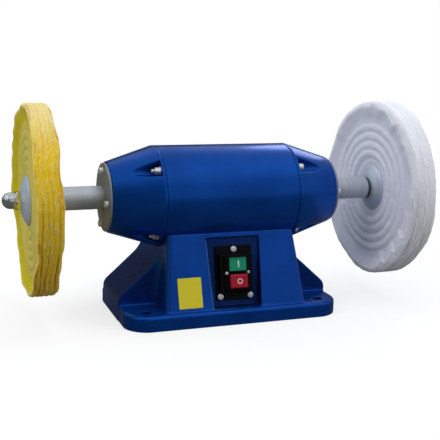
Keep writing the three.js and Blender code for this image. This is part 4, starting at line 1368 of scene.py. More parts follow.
@dataclass
class MotorTube:
    """Steel tube of the motor."""

    half_length: float = 95.9
    radius: float = 70.0
    wall: float = 4.0
    edge: float = 0.9

    def build(self) -> None:
        """Makes the tube: a wall with rounded ends, turned about the shaft."""
        end, inner = self.half_length, self.radius - self.wall
        outline = rounded([(-end, inner, 0), (-end, self.radius, self.edge),
                           (end, self.radius, self.edge), (end, inner, 0)])
        dress(turned("motor_shell", outline, 192), Body.STAND, Finish.SHELL_PAINT, "motor_tube")


def fan(start: Array | float, end: Array | float, steps: int) -> Array:
    """Rows of equal steps, each row from its own start to its own end."""
    start, end = np.broadcast_arrays(start, end)
    return start[..., None] + (end - start)[..., None] * np.linspace(0, 1, steps)


@dataclass
class EndBell:
    """Cone at one end of the motor with four scooped pockets for the tie bolts."""

    side: Side
    foot: float = 96.2
    nose: float = 165.2
    foot_radius: float = 70.0
    foot_bore: float = 45.0
    nose_radius: float = 49.5
    nose_bore: float = 24.0
    land: float = 3.5
    nose_round: float = 2.5
    tie_circle: float = 61.5
    tie_angles: tuple[float, ...] = (-54.0, 42.0, 138.0, 234.0)
    pocket_radius: float = 12.0
    pocket_tip: float = 2.6
    pocket_length: float = 50.0
    pocket_floor: float = 4.0
    lip: float = 2.5
    zone: float = 15.0
    plain_step: float = 2.5

    def cone(self, x: Array | float) -> Array:
        """Outside radius: level over the land, then falling evenly to the nose.

        Args:
            x: Place along the shaft.

        Returns:
            The radius.
        """
        length = self.nose - self.nose_round - self.foot - self.land
        share = np.clip((x - self.foot - self.land) / length, 0, 1)
        return self.foot_radius + (self.nose_radius - self.foot_radius) * share

    def scoop(self, x: Array, radius: Array) -> tuple[Array, Array, Array]:
        """Half of the section through one pocket at each place along the shaft.

        A fillet of the lip's radius touches the cone's circle and either the pocket's straight wall or,
        past the pocket's centre, its round bottom. Past the tip the pocket has closed to a point.

        Args:
            x: Places along the shaft.
            radius: The cone's radius there.

        Returns:
            Reach and angle of each point, and the angle at which the lip leaves the cone.
        """
        start = self.foot + self.pocket_floor
        narrowing = (self.pocket_tip - self.pocket_radius) * (x - start) / self.pocket_length
        hollow, lip, centre = self.pocket_radius + narrowing, self.lip, self.tie_circle
        inside, outside = radius - lip, hollow + lip
        wall_x = np.sqrt(np.maximum(inside ** 2 - outside ** 2, 0))
        straight = wall_x >= centre
        round_x = (inside ** 2 - outside ** 2 + centre ** 2) / (2 * centre)
        px = np.where(straight, wall_x, round_x)
        py = np.where(straight, outside, np.sqrt(np.maximum(inside ** 2 - round_x ** 2, 0)))
        open_here = (py > 1e-3) & (centre - hollow < radius)
        leave = np.where(open_here, np.arctan2(py, px), 0)
        meet = np.where(straight, -np.pi / 2, np.arctan2(-py, centre - px))
        bend = fan(leave, np.where(meet > 0, meet - 2 * np.pi, meet), 7)
        fillet = np.stack([px[:, None] + lip * np.cos(bend), py[:, None] + lip * np.sin(bend)], -1)
        x_end, y_end = fillet[:, -1].T
        wall = np.stack([fan(x_end, np.where(straight, centre, x_end), 5), fan(y_end, y_end, 5)], -1)
        sweep = fan(np.where(straight, np.pi / 2, np.arctan2(y_end, x_end - centre)), np.pi, 13)
        bowl = np.stack([centre + hollow[:, None] * np.cos(sweep), hollow[:, None] * np.sin(sweep)], -1)
        across, aside = np.moveaxis(np.concatenate([fillet, wall[:, 1:-1], bowl], 1), -1, 0)
        shown = open_here[:, None]
        return (np.where(shown, np.hypot(across, aside), radius[:, None]),
                np.where(shown, np.arctan2(aside, across), 0), leave)

    def sections(self) -> Array:
        """All sections of the bell: its outside from foot to nose with the pockets, then its inside.

        Returns:
            Points of shape (rows, columns, 3).
        """
        start, base = self.foot + self.pocket_floor, self.foot + self.land
        round_x = self.nose - self.nose_round
        fall = (self.foot_radius - self.nose_radius) / (round_x - self.foot - self.land)
        taper = (self.pocket_radius - self.pocket_tip) / self.pocket_length
        room = self.foot_radius - self.tie_circle + self.pocket_radius
        tip = (room + taper * start + fall * base) / (fall + taper)
        along, after = start + (tip - start) * np.sin(quarter(52)), np.linspace(tip, round_x, 8)[1:]
        wide, bend = self.foot_radius, quarter(7)[1:]
        before = [(self.foot, self.foot_bore), (self.foot, wide - 0.7), (self.foot + 0.2, wide - 0.2),
                  (self.foot + 0.7, wide), (base - 0.3, wide), (base + 0.3, self.cone(base + 0.3)),
                  (start, self.cone(start))]
        nose = np.stack([round_x + self.nose_round * np.sin(bend),
                         self.nose_radius - self.nose_round * (1 - np.cos(bend))], 1)
        inside = [(self.nose, self.nose_bore), (self.nose - 15, self.nose_bore), (self.nose - 20, 30.0),
                  (self.foot + 40, 41.0)]
        outside = np.concatenate([along, after])
        outside = np.stack([outside, self.cone(outside)], 1)
        rows_x, rows_r = np.concatenate([before, outside, nose, inside]).T
        reach, angle, leave = self.scoop(along, self.cone(along))
        zone, lead = math.radians(self.zone), len(before)
        half_a = np.concatenate([fan(zone, leave, 5)[:, :-1], angle], 1)
        flat = np.r_[half_a[0, :4], np.linspace(leave[0], 0, angle.shape[1])]
        every_a = np.concatenate([np.repeat(flat[None], lead, 0), half_a,
                                  np.repeat(half_a[-1:], len(rows_x) - lead - len(along), 0)])
        every_r = np.repeat(rows_r[:, None], half_a.shape[1], 1)
        every_r[lead:lead + len(along), 4:] = reach
        zone_a = np.concatenate([-every_a, every_a[:, -2::-1]], 1)
        zone_r = np.concatenate([every_r, every_r[:, -2::-1]], 1)
        ties, turns, reaches = np.radians(self.tie_angles), [], []
        for here, there in zip(ties, np.append(ties[1:], ties[0] + 2 * np.pi)):
            count = round((there - here - 2 * zone) / math.radians(self.plain_step))
            gap = np.linspace(here + zone, there - zone, count)[1:-1]
            turns += [here + zone_a, np.repeat(gap[None], len(rows_x), 0)]
            reaches += [zone_r, np.repeat(rows_r[:, None], len(gap), 1)]
        points = spun(rows_x[:, None], np.concatenate(reaches, 1), np.concatenate(turns, 1))
        return points * (self.side.value, self.side.value, 1)

    def build(self) -> None:
        """Makes the bell."""
        word = self.side.word
        piece = net(f"{word}_bell", self.sections(), True, crease=32.0)
        dress(piece, Body.STAND, Finish.SHELL_PAINT, f"{word}_end_bell")


@dataclass
class BearingCap:
    """Round cap on the nose of a bell, with its socket screws."""

    side: Side
    turn: float
    start: float = 165.5
    face: float = 168.7
    radius: float = 47.3
    bore: float = 16.8
    collar: float = 20.8
    collar_height: float = 0.9
    screw_circle: float = 37.0
    screws: int = 4

    def build(self) -> None:
        """Makes the cap and its screws."""
        sign, word = self.side.value, self.side.word
        start, face, raised = (sign * x for x in (self.start, self.face, self.face + self.collar_height))
        outline = rounded([(start, self.bore, 0), (start, self.radius, 0.2), (face, self.radius, 0.9),
                           (face, self.collar, 0.5), (raised, self.collar, 0.4), (raised, self.bore, 0.3)])
        dress(turned(f"{word}_cap", outline, 144), Body.STAND, Finish.CAP_STEEL, f"{word}_bearing_cap")
        for index in range(self.screws):
            angle = math.radians(self.turn) + index * 2 * math.pi / self.screws
            place = square_to_shaft(self.side, self.face + 0.3, sign * self.screw_circle * math.cos(angle),
                                    SHAFT_HEIGHT + self.screw_circle * math.sin(angle))
            node = f"{word}_cap_screw_{index + 1}"
            SocketScrew().build(f"{node}_head", node, place)


@dataclass
class ShaftEnd:
    """Spacer sleeve, both flanges and the domed nut at one end of the shaft."""

    side: Side
    sleeve: Pair = (165.2, 239.7)
    sleeve_radius: float = 16.0
    shaft_radius: float = 10.3
    inner_flange: float = 240.0
    outer_flange: float = 279.2
    flange_depth: float = 9.3
    flange_radius: float = 34.0
    flange_nose: float = 17.0
    flange_rim: float = 1.8
    flange_swell: float = 1.3
    flange_dish: float = 1.4
    nut: float = 279.5
    nut_width: float = 24.0
    nut_hex: float = 7.0
    nut_dome: float = 11.0
    nut_dome_length: float = 17.5

    def flange(self, at: float, way: int) -> Array:
        """Profile of a flange, whose outside swells a little beyond a straight cone, by a sine over its
        length.

        Args:
            at: Place of its nose along the shaft.
            way: 1 if its rim lies further out than its nose, and -1 if not.

        Returns:
            Points of shape (n, 2).
        """
        share, depth, bore = np.linspace(0, 1, 15)[1:-1], self.flange_depth, self.shaft_radius
        cone = np.stack([share * (depth - self.flange_rim),
                         self.flange_nose + (self.flange_radius - self.flange_nose) * share
                         + self.flange_swell * np.sin(share * np.pi)], 1)
        rim = rounded([(0, 0, 0), (depth - self.flange_rim, self.flange_radius, 0.7),
                       (depth, self.flange_radius, 0.5), (depth, 0, 0)])[1:-1]
        dish = depth - self.flange_dish
        inner = [(depth, 28.0), (dish, 26.6), (dish, bore), (0.5, bore), (0, bore + 0.5),
                 (0, self.flange_nose - 0.6), (0.2, self.flange_nose - 0.2)]
        profile = np.concatenate([cone, rim, inner])
        return np.stack([self.side.value * (at + way * profile[:, 0]), profile[:, 1]], 1)

    def domed_nut(self) -> Piece:
        """Makes the nut: a hexagon, cut by a cone at both ends, under a round dome.

        Returns:
            The piece.
        """
        facets = 120
        corner, top, dome = self.nut_width / math.sqrt(3), self.nut_hex, self.nut_dome
        limits = [0, corner - 1.2, corner - 0.5, corner, corner, corner - 0.5, corner - 1.4]
        radii = [np.minimum(hexagon(self.nut_width, facets), limit) for limit in limits]
        foot, bend = top + self.nut_dome_length - dome, quarter(22)[1:]
        radii += [np.full(facets, radius) for radius in (dome + 0.6, dome, dome, *dome * np.cos(bend))]
        heights = np.r_[0, 0, 0.15, 0.7, top - 0.9, top - 0.25, top, top, top + 0.6, foot,
                        foot + dome * np.sin(bend)]
        place = square_to_shaft(self.side, self.nut, 0, SHAFT_HEIGHT)
        return stacked(f"{self.side.word}_domed_nut", heights, np.array(radii), place, crease=25.0)

    def build(self) -> None:
        """Makes the four pieces."""
        word = self.side.word
        start, end = (self.side.value * place for place in self.sleeve)
        outline = rounded([(start, self.shaft_radius, 0), (start, self.sleeve_radius, 0.6),
                           (end, self.sleeve_radius, 1.1), (end, self.shaft_radius, 0)])
        dress(turned(f"{word}_sleeve", outline, 96), Body.SPINDLE, Finish.SLEEVE_STEEL,
              f"{word}_spacer_sleeve")
        for kind, at, way in (("inner", self.inner_flange, 1), ("outer", self.outer_flange, -1)):
            dress(turned(f"{word}_{kind}_clamp", self.flange(at, way), 128), Body.SPINDLE,
                  Finish.FLANGE_STEEL, f"{word}_{kind}_flange")
        dress(self.domed_nut(), Body.SPINDLE, Finish.CHROME, f"{word}_acorn_nut")


class Uneven(Enum):
    """Kinds of unevenness in loose cloth, with their cells round the shaft and across it."""

    LIP = (17, 1)
    LIP_DETAIL = (44, 1)
    BULGE = (26, 5)
    PUCKER = (64, 10)
    CREASE = (150, 24)
    DRIFT = (12, 2)
    FRAY = (170, 34)
    TUFT = (90, 26)
    OUTLINE = (9, 1)


@dataclass
class Section:
    """Section of a wheel from one face over the rim to the other, as columns with a row for each point.

    A row has its distance from the shaft line, its fall from the crest of the lip, its share of the way
    from the rim's middle to its edge, how much it belongs to the rim, and the sign of its half's X.
    """

    reach: Array
    fall: Array
    share: Array
    rim: Array
    sign: Array


@dataclass
class ClothWheel:
    """Polishing wheel: many cloth discs, stitched in rings, loose and frayed at the rim.

    The section runs out over one face, over a soft lip, across the rim and back over the other face.
    Every point of it goes round the shaft and is moved out of the surface by quilting, puckers and ply
    edges, and along the shaft by the folds of the loose cloth.

    Attributes:
        radius: How far the loose cloth reaches.
        rim: Distances from its middle to the rim's two edges, towards -X and +X.
        bundles: Groups of plies that part at the rim.
        lip: Width of each rounded lip, and how far it falls towards the rim.
        groove: Depth of the gaps between the groups.
        scallop: How far a lip's edge wanders in and out.
        lobes: Folds of the loose cloth round the shaft, of the two largest kinds.
        fold: How far the loose cloth sways along the shaft.
        outline_wave: How far the outline wanders from a circle.
        puff: How high the cloth swells between its stitches.
        lean: How far the rim's front leans towards +X and its back towards -X.
        belly: How far the face towards -X swells beyond its clamped part.
        pleats: Angle, width and depth of each fold of the -X lip over the face; it ends steeply at its
            angle and tapers off over its width, before the angle or, if negative, after it.
    """

    side: Side
    cloth: Finish
    seed: int
    radius: float
    rim: Pair
    bundles: int
    lip: Pair
    groove: float
    scallop: float
    lobes: tuple[int, int]
    fold: float
    outline_wave: float
    puff: float
    lean: float = 0.0
    belly: float = 0.0
    pleats: tuple[Triple, ...] = ()
    hub: float = 249.6
    hub_thickness: float = 20.0
    bore: float = 10.3
    clamp: float = 34.0
    stitches: tuple[float, ...] = (41.0, 54.0, 68.0, 81.0, 95.0)
    stitched_to: float = 95.0
    bowl: float = 17.0
    bead: float = 0.8
    ply_pitch: float = 2.1
    ply: float = 0.2
    fray: float = 0.32
    directions: int = 560

    def __post_init__(self) -> None:
        """Draws the cloth's unevenness, one seed after the other."""
        self.noise = {kind: RoundNoise(self.seed + k, *kind.value) for k, kind in enumerate(Uneven)}

    def section(self) -> Section:
        """Lays out the rows: half of the section from the bore to the rim's middle, then the same back.

        Returns:
            The section.
        """
        width, fall = self.lip
        crest = self.radius - width
        face = np.concatenate([[self.bore, 22.0], np.linspace(self.clamp - 0.5, self.stitched_to, 40),
                               np.linspace(self.stitched_to, crest, 16)[1:]])
        bend, across = quarter(10)[1:], np.linspace(1, 0, 30)[1:]
        parts = [(face, 0, 1, 0),
                 (crest + width * np.sin(bend), fall * (1 - np.cos(bend)), 1, smooth(bend, 0.3, 1.2)),
                 (self.radius, fall, across, 1)]
        half = np.concatenate([np.stack(np.broadcast_arrays(*part), 1) for part in parts])
        sign = np.repeat([1.0, -1.0], [len(half), len(half) - 1])
        return Section(*np.column_stack([np.concatenate([half, half[-2::-1]]), sign]).T[..., None])

    def quilt(self, reach: Array) -> tuple[Array, Array]:
        """Swells the cloth between its stitches: a power of the sine over each gap between two rings.

        Args:
            reach: Distance from the shaft line.

        Returns:
            The swelling, and a bell curve in each seam.
        """
        rings = np.array((self.clamp - 3, *self.stitches))
        slot = np.clip(np.searchsorted(rings, reach) - 1, 0, len(rings) - 2)
        share = np.clip((reach - rings[slot]) / (rings[slot + 1] - rings[slot]), 0, 1)
        inside = (reach > rings[0]) & (reach < rings[-1])
        puff = np.where(inside, np.sin(share * np.pi) ** 1.3, 0)
        return puff, bell(reach[..., None] - rings[1:], 1.5).max(-1)

    def folded(self, angle: Array) -> Array:
        """How far the pleats carry the -X lip in: a ramp with a steep end for each of them.

        Args:
            angle: Angle round the shaft.

        Returns:
            The distance, at least zero.
        """
        depth = np.zeros_like(angle)
        for at, width, carried in self.pleats:
            share = ((np.degrees(angle) - at + 180) % 360 - 180) / width
            depth = np.maximum(depth, carried * np.clip(1 + share, 0, 1) * (1 - smooth(share, 0, 0.35)))
        return depth

    def gaps(self, along: Array, turn: Array) -> Array:
        """Gaps between the groups of plies: bell curves across the rim that wander and fade round it.

        Args:
            along: Level of each point along the shaft.
            turn: Share of a turn.

        Returns:
            Depth of the gap at each point, about 1 in its middle.
        """
        ends = np.linspace(-self.rim[0], self.rim[1], self.bundles + 1)[1:-1]
        depth = np.zeros(np.broadcast_shapes(along.shape, turn.shape))

        def wandering(kind: int, cells: int) -> Array:
            """Noise round the rim for one gap."""
            return RoundNoise(self.seed + kind + index, cells, 1)(turn, 0.5 + 0 * turn)

        for index, end in enumerate(ends):
            middle = end + 1.5 * wandering(50, 16) + 0.5 * wandering(70, 60)
            depth = np.maximum(depth, (0.6 + 0.6 * wandering(90, 24)) * bell(along - middle, 1.15))
        return depth

    def lie(self, rows: Section, past: Array, bead: Array | float = 0.0) -> Array:
        """Level of the section along the shaft: from the hub's face up to the lip and across the rim.

        Args:
            rows: The section.
            past: How far each point lies past the foot of the lip.
            bead: How far the lip stands proud.

        Returns:
            The level from the wheel's middle.
        """
        edge = np.where(rows.sign > 0, self.rim[1], self.rim[0])
        swell = self.hub_thickness / 2 + self.belly * (1 - rows.sign) / 2 * smooth(
            rows.reach, self.clamp, self.clamp + 22)
        rise = smooth(past, -self.bowl, 2.5)
        return rows.sign * (swell + (edge - swell) * rise + bead - rows.fall) * rows.share

    def sway(self, rows: Section, turn: Array, out: Array) -> Array:
        """How far the loose cloth stands along the shaft: waves round it, a lean and bulges.

        Args:
            rows: The section.
            turn: Share of a turn.
            out: Share of the way from the clamped part to the rim.

        Returns:
            The distance towards +X.
        """
        angle, (many, few) = 2 * np.pi * turn, self.lobes
        loose = smooth(rows.reach, 88.0, self.radius)
        sway = self.fold * loose * (0.4 * np.cos(many * angle + self.seed) + 0.3 * np.sin(few * angle)
                                    + 0.7 * self.noise[Uneven.DRIFT](turn, out))
        sway = sway - self.lean * np.clip(out, 0, 1) * np.cos(angle)
        bulge = 1.1 * self.noise[Uneven.BULGE](turn, out) + 0.5 * self.noise[Uneven.PUCKER](turn, out)
        return sway + loose * rows.sign * bulge * rows.share

    def wave(self, rows: Section, turn: Array) -> Array:
        """How far the outline wanders from a circle, by a wave and two noises round it."""
        return self.outline_wave * smooth(rows.reach, 80, self.radius) * (
            0.35 * np.cos(self.lobes[1] * (2 * np.pi * turn) + 1.0)
            + 0.65 * self.noise[Uneven.OUTLINE](turn, 0 * turn)
            + 0.3 * self.noise[Uneven.BULGE](turn, 0.9 + 0 * turn))

    def build(self) -> None:
        """Makes the wheel: lays the section round the shaft, then pushes every point out along the plain
        section's normal and sways it along the shaft."""
        rows, noise = self.section(), self.noise
        r, share, rim, sign = rows.reach, rows.share, rows.rim, rows.sign
        turn = np.linspace(0, 1, self.directions, endpoint=False)[None, :]
        angle = 2 * np.pi * turn
        face, out = (1 - sign) / 2 + 0 * turn, (r - self.clamp) / (self.radius - self.clamp) + 0 * turn
        low = smooth(-np.sin(angle), -0.7, 0.5)
        wall = self.radius - self.lip[0] - 1 + self.scallop * (0.7 + 0.5 * low) * (
            0.55 * noise[Uneven.LIP](turn, face) + 0.45 * noise[Uneven.LIP_DETAIL](turn, face)) \
            - self.folded(angle) * face
        level = self.lie(rows, r - wall, self.bead * (bell(r - wall - 4, 3.5) * (1 - rim)))
        flat = self.lie(rows, r - self.radius + self.lip[0] + 1)
        step = np.gradient(np.concatenate([r, flat], 1), axis=0)
        normal = unit(np.stack([-step[:, 1], step[:, 0]], 1))

        puff, seam = self.quilt(r)
        quilted, loose = smooth(r, 36, 60) * (1 - smooth(r, 93, 99)), smooth(r, 88.0, self.radius)
        pucker = 0.4 * quilted * noise[Uneven.PUCKER](turn, out) \
            + 0.7 * loose * noise[Uneven.PUCKER](turn + 0.37, out) \
            + 0.2 * noise[Uneven.CREASE](turn, out) * smooth(r, 30, 45)
        face_push = (self.puff * puff - 0.4 * seam + pucker) * smooth(r, self.clamp, self.clamp + 5)
        gap = self.gaps(level, turn) * rim * (0.35 + 0.65 * low)
        strip = (level + 25) / 50
        plies = np.sin(level * (2 * np.pi / self.ply_pitch) + 2.2 * noise[Uneven.DRIFT](turn, strip))
        frayed = noise[Uneven.FRAY](turn, strip) + 0.7 * noise[Uneven.TUFT](turn, strip)
        push = face_push * (1 - rim) + (self.ply * plies + self.fray * frayed - self.groove * gap) * rim
        far = r + self.wave(rows, turn) + push * normal[:, :1]
        place = level + self.sway(rows, turn, out) + push * normal[:, 1:]

        lip = bell(r - wall - 2.5, 2.0) * (1 - rim)
        # A dark broken line across the lip, painted shade.
        split = bell(r - wall - 5.5, 1.2) * (share >= 1) * smooth(
            noise[Uneven.LIP_DETAIL](turn + 0.2, face), 0.1, 0.6)
        # Painted shade in the valleys between plies, stronger towards the bottom of the wheel.
        valley = 1.5 * self.ply * np.clip(-plies, 0, 1) * rim * (0.2 + 0.8 * low)
        # Paler at frayed tufts, and painted light that makes the top of the wheel paler.
        tufts_and_top_light = 0.5 * np.maximum(frayed - 0.2, 0) + 0.8 * smooth(np.sin(angle), 0.5, 1.0)
        # Paler inside the stitched rings.
        paler_inside = 0.32 * (1 - smooth(r, 98, 110))
        marks = {
            # Painted shade: the gaps between bundles and the valleys between plies, more towards the
            # bottom, and the broken line on the lip.
            "groove": np.clip(gap + 0.8 * split + valley, 0, 1),
            "seam": seam * smooth(r, 37, 40) * (1 - rim) + 0 * turn,
            "rim": smooth(r - wall, -2.0, 4.0),
            # Paler where frayed, inside the stitches and along the lip, and painted light at the top of the
            # wheel.
            "wear_and_painted_light": np.clip(paler_inside + lip * (0.8 + 0.3 * frayed) + tufts_and_top_light * rim, 0, 1)}
        middle = self.side.value * (self.hub + self.hub_thickness / 2)
        piece = net(f"{self.side.word}_cloth_wheel", spun(middle + place, far, angle), True, 80.0, marks)
        dress(piece, Body.SPINDLE, self.cloth, f"{self.side.word}_buffing_wheel")


@dataclass
class SwitchPanel:
    """Casing, switch, push buttons with their marks, and the panel's screws.

    Attributes:
        casing: Width, height and middle up the panel of the casing's flange.
        box: The same for the casing's raised box.
        bezel: The same for the switch's bezel.
        collar: Width, height and level of the top of the collar round each button.
        centres: Middles of the on and the off button up the panel; tops and edges are in the same order.
    """

    casing: Triple = (54.0, 75.5, 45.25)
    flange: float = 3.0
    box: Triple = (49.0, 54.0, 46.05)
    box_top: float = 12.5
    box_draft: float = 0.085
    casing_corner: float = 2.5
    bezel: Triple = (36.0, 48.0, 46.05)
    bezel_levels: Pair = (12.8, 15.4)
    collar: Triple = (30.2, 22.3, 17.8)
    switch_corner: float = 1.8
    back: Pair = (27.0, 45.0)
    button: Pair = (25.6, 19.0)
    centres: Pair = (57.75, 34.35)
    tops: Pair = (16.4, 20.0)
    edges: Pair = (0.9, 2.4)
    sink: float = 9.0
    travel: float = 3.0
    gap: float = 0.35
    casing_screws: tuple[Pair, ...] = ((0, 78.03), (-22, 13.28), (22, 13.28))
    screw_x: float = 15.75
    screw_level: float = 15.7
    shift: float = 1.0
    mark_shift: float = 1.8
    bar: Pair = (1.8, 9.6)
    ring: Pair = (2.5, 4.0)
    place: PanelPlace = PanelPlace()

    def casing_form(self, x: Array, y: Array, z: Array) -> Array:
        """Signed distance to the casing: a flange with a raised box, filleted into each other.

        Args:
            x: Places across the panel.
            y: Places up it.
            z: Levels over it.

        Returns:
            The distances.
        """
        width, height, centre = self.casing
        rim = common(slab(x, y - centre, width, height, self.casing_corner), z - self.flange, 0.9)
        width, height, centre = self.box
        walls = slab(x, y - centre, width, height, self.casing_corner) + self.box_draft * (z - self.flange)
        box = common(walls, z - self.box_top, 1.3)
        return np.maximum(union(rim, box, 0.8), 0.3 - z)

    def switch_form(self, x: Array, y: Array, z: Array) -> Array:
        """Signed distance to the switch: a bezel on a back, with a collar and a well for each button.

        Args:
            x: Places across the panel.
            y: Places up it.
            z: Levels over it.

        Returns:
            The distances.
        """
        width, height, centre = self.bezel
        low, high = self.bezel_levels
        plate = common(slab(x, y - centre, width, height, self.switch_corner), z - high, 0.8)
        back = np.maximum(slab(x, y - centre, *self.back, 1.5), np.maximum(z - high + 1, 0.6 - z))
        body = np.minimum(np.maximum(plate, low - z), back)
        wide, tall, top = self.collar
        floor = high - self.sink - self.travel - 0.3
        for at in self.centres:
            collar = common(slab(x - self.shift, y - at, wide, tall, self.switch_corner), z - top, 0.7)
            body = union(body, np.maximum(collar, high - 1 - z), 0.5)
        spot = np.hypot(np.abs(x) - self.screw_x, y - centre)
        body = without(body, np.maximum(spot - 2.5, high - z), 0.3)
        wide, tall = (size + 2 * self.gap for size in self.button)
        for at in self.centres:
            well = slab(x - self.shift, y - at, wide, tall, 1.4)
            body = without(body, np.maximum(well, floor - z), 0.5)
        return body

    def push_button(self, which: int, name: str, body: Body, plastic: Finish) -> None:
        """Makes a button: its outline carried up, over a rounded edge and into a slightly dished top.

        Args:
            which: 0 for the on button and 1 for the off button.
            name: Name of the piece.
            body: Its body, which has the name of its solid.
            plastic: Its finish.
        """
        width, height = self.button
        top, edge, corner, dish = self.tops[which], self.edges[which], 1.3, 0.25
        bottom, bend = self.bezel_levels[1] - self.sink, quarter(7)
        layers = [(rectangle(width - 0.6, height - 0.6, 1.0), bottom),
                  (rectangle(width, height, corner), bottom + 0.3)]
        for c, s in zip(np.cos(bend), np.sin(bend)):
            inset = 2 * edge * (1 - c)
            layers.append((rectangle(width - inset, height - inset, corner), top - edge + edge * s))
        layers += [(rectangle(width * k, height * k, 1.0), top - dish * (1 - k)) for k in (0.8, 0.6, 0.3)]
        piece = loft(name, layers, self.place.matrix, self.shift, self.centres[which])
        dress(piece, body, plastic, body.value)

    def marks(self) -> None:
        """Makes the raised bar of the on button and the raised ring of the off button."""
        matrix, proud = self.place.matrix, 0.25
        bar = rectangle(*self.bar, 0.6)
        on_top, off_top = self.tops
        layers = [(bar, on_top - 0.6), (bar, on_top + 0.1), (bar * 0.8, on_top + proud)]
        piece = loft("on_mark", layers, matrix, self.mark_shift, self.centres[0])
        dress(piece, Body.ON_BUTTON, Finish.PALE_GREEN)
        inner, outer = self.ring
        reach, level = rounded([(inner, -0.6, 0), (outer, -0.6, 0),
                                (outer, proud, 0.2), (inner, proud, 0.2)]).T
        angle = circle(64)[:, None]
        ring = np.stack(np.broadcast_arrays(
            self.mark_shift + reach * np.cos(angle), self.centres[1] + reach * np.sin(angle),
            off_top - 0.1 + level), -1)
        dress(net("off_mark", placed(ring, matrix), True), Body.OFF_BUTTON, Finish.PALE_PINK)

    def build(self) -> None:
        """Makes the whole panel."""
        for name, node, form, spans in (
                ("switch_housing", "switch_casing", self.casing_form,
                 ((-28, 28, 0.75), (6.5, 84, 0.75), (-0.4, 13.4, 0.6))),
                ("switch_bezel", "switch_body", self.switch_form,
                 ((-19, 19, 0.5), (21, 71, 0.5), (0, 18.4, 0.5)))):
            axes = tuple(grid_line(span) for span in spans)
            dress(skin_of(name, form, axes, self.place.matrix), Body.STAND, Finish.BLACK, node)
        self.push_button(0, "green_button", Body.ON_BUTTON, Finish.GREEN)
        self.push_button(1, "red_button", Body.OFF_BUTTON, Finish.RED)
        self.marks()
        pairs = tuple((x, self.bezel[2]) for x in (-self.screw_x, self.screw_x))
        for kind, screw, spots, level in (
                ("casing", PanScrew(4.2, 2.4), self.casing_screws, self.flange + 0.3),
                ("switch", PanScrew(2.2, 1.8), pairs, self.screw_level)):
            for index, (x, up) in enumerate(spots, 1):
                node = f"{kind}_screw_{index}"
                screw.build(f"{node}_head", node, self.place.at(x, up, level))


@dataclass
class TieBolts:
    """Tie bolts with their heads in the right bell's pockets and their nuts in the left bell's."""

    circle: float = 61.5
    angles: tuple[float, ...] = (42.0, 138.0, -54.0, 234.0)
    seat: float = 100.5

    def build(self) -> None:
        """Makes the bolts and the nuts."""
        for index, angle in enumerate(np.radians(self.angles), 1):
            y, z = self.circle * math.cos(angle), SHAFT_HEIGHT + self.circle * math.sin(angle)
            TieBolt(self.seat).build(f"tie_rod_{index}", f"tie_bolt_{index}",
                                     square_to_shaft(Side.RIGHT, 0.0, y, z))
            FlangedNut().build(f"tie_nut_{index}", f"tie_bolt_nut_{index}",
                               square_to_shaft(Side.LEFT, self.seat, y, z))


@dataclass
class PlainPlate:
    """Plain yellow plate on the front of the block, left of the switch."""

    left: float = -84.2
    right: float = -50.7
    foot: float = 26.0
    head: float = 65.5
    thickness: float = 0.35
    bedded: float = 0.1
    corner: float = 1.2

    def build(self) -> None:
        """Makes the plate: a rounded rectangle laid on the leaning face and given a thickness."""
        stand = Stand()
        lean, middle = stand.lean(1), (self.foot + self.head) / 2
        place = leaning(lean, (self.left + self.right) / 2,
                        -stand.half(stand.foot[1], stand.top[1], middle), middle)
        edge = rectangle(self.right - self.left, (self.head - self.foot) / math.cos(lean), self.corner)
        layers = [(edge, -self.bedded), (edge, self.thickness - self.bedded),
                  (edge * 0.992, self.thickness), (edge * 0.96, self.thickness)]
        dress(loft("plain_plate", layers, place), Body.STAND, Finish.YELLOW)


@dataclass
class HiddenPieces:
    """Solids of the frame that keep their shape and get a finish of their own."""

    finishes: Mapping[str, Finish]

    def build(self) -> None:
        """Puts on each solid the first finish whose key is part of its name."""
        for name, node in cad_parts.items():
            if node.hide_render:
                continue
            finish = next((given for key, given in self.finishes.items() if key in name), None)
            if finish is None:
                raise ValueError(f"no finish for {name}")
            node.data.materials.clear()
            node.data.materials.append(finish.material)
            log.info("%s keeps its shape", name)


@dataclass(frozen=True)
class Lamp:
    """One soft lamp of the studio, which gloss mirrors or not."""

    name: str
    place: Triple
    target: Triple
    power: float
    size: float = 1.0
    mirrored: bool = False

    def build(self) -> None:
        """Hangs the lamp and points it at its target."""
        data = bpy.data.lights.new(self.name, "AREA")
        data.shape, data.size, data.energy = "DISK", self.size, self.power
        lamp = bpy.data.objects.new(self.name, data)
        lamp.location, lamp.visible_glossy, lamp.visible_camera = self.place, self.mirrored, False
        aim = Vector(self.target) - Vector(self.place)
        lamp.rotation_euler = aim.to_track_quat("-Z", "Y").to_euler()
        bpy.context.scene.collection.objects.link(lamp)


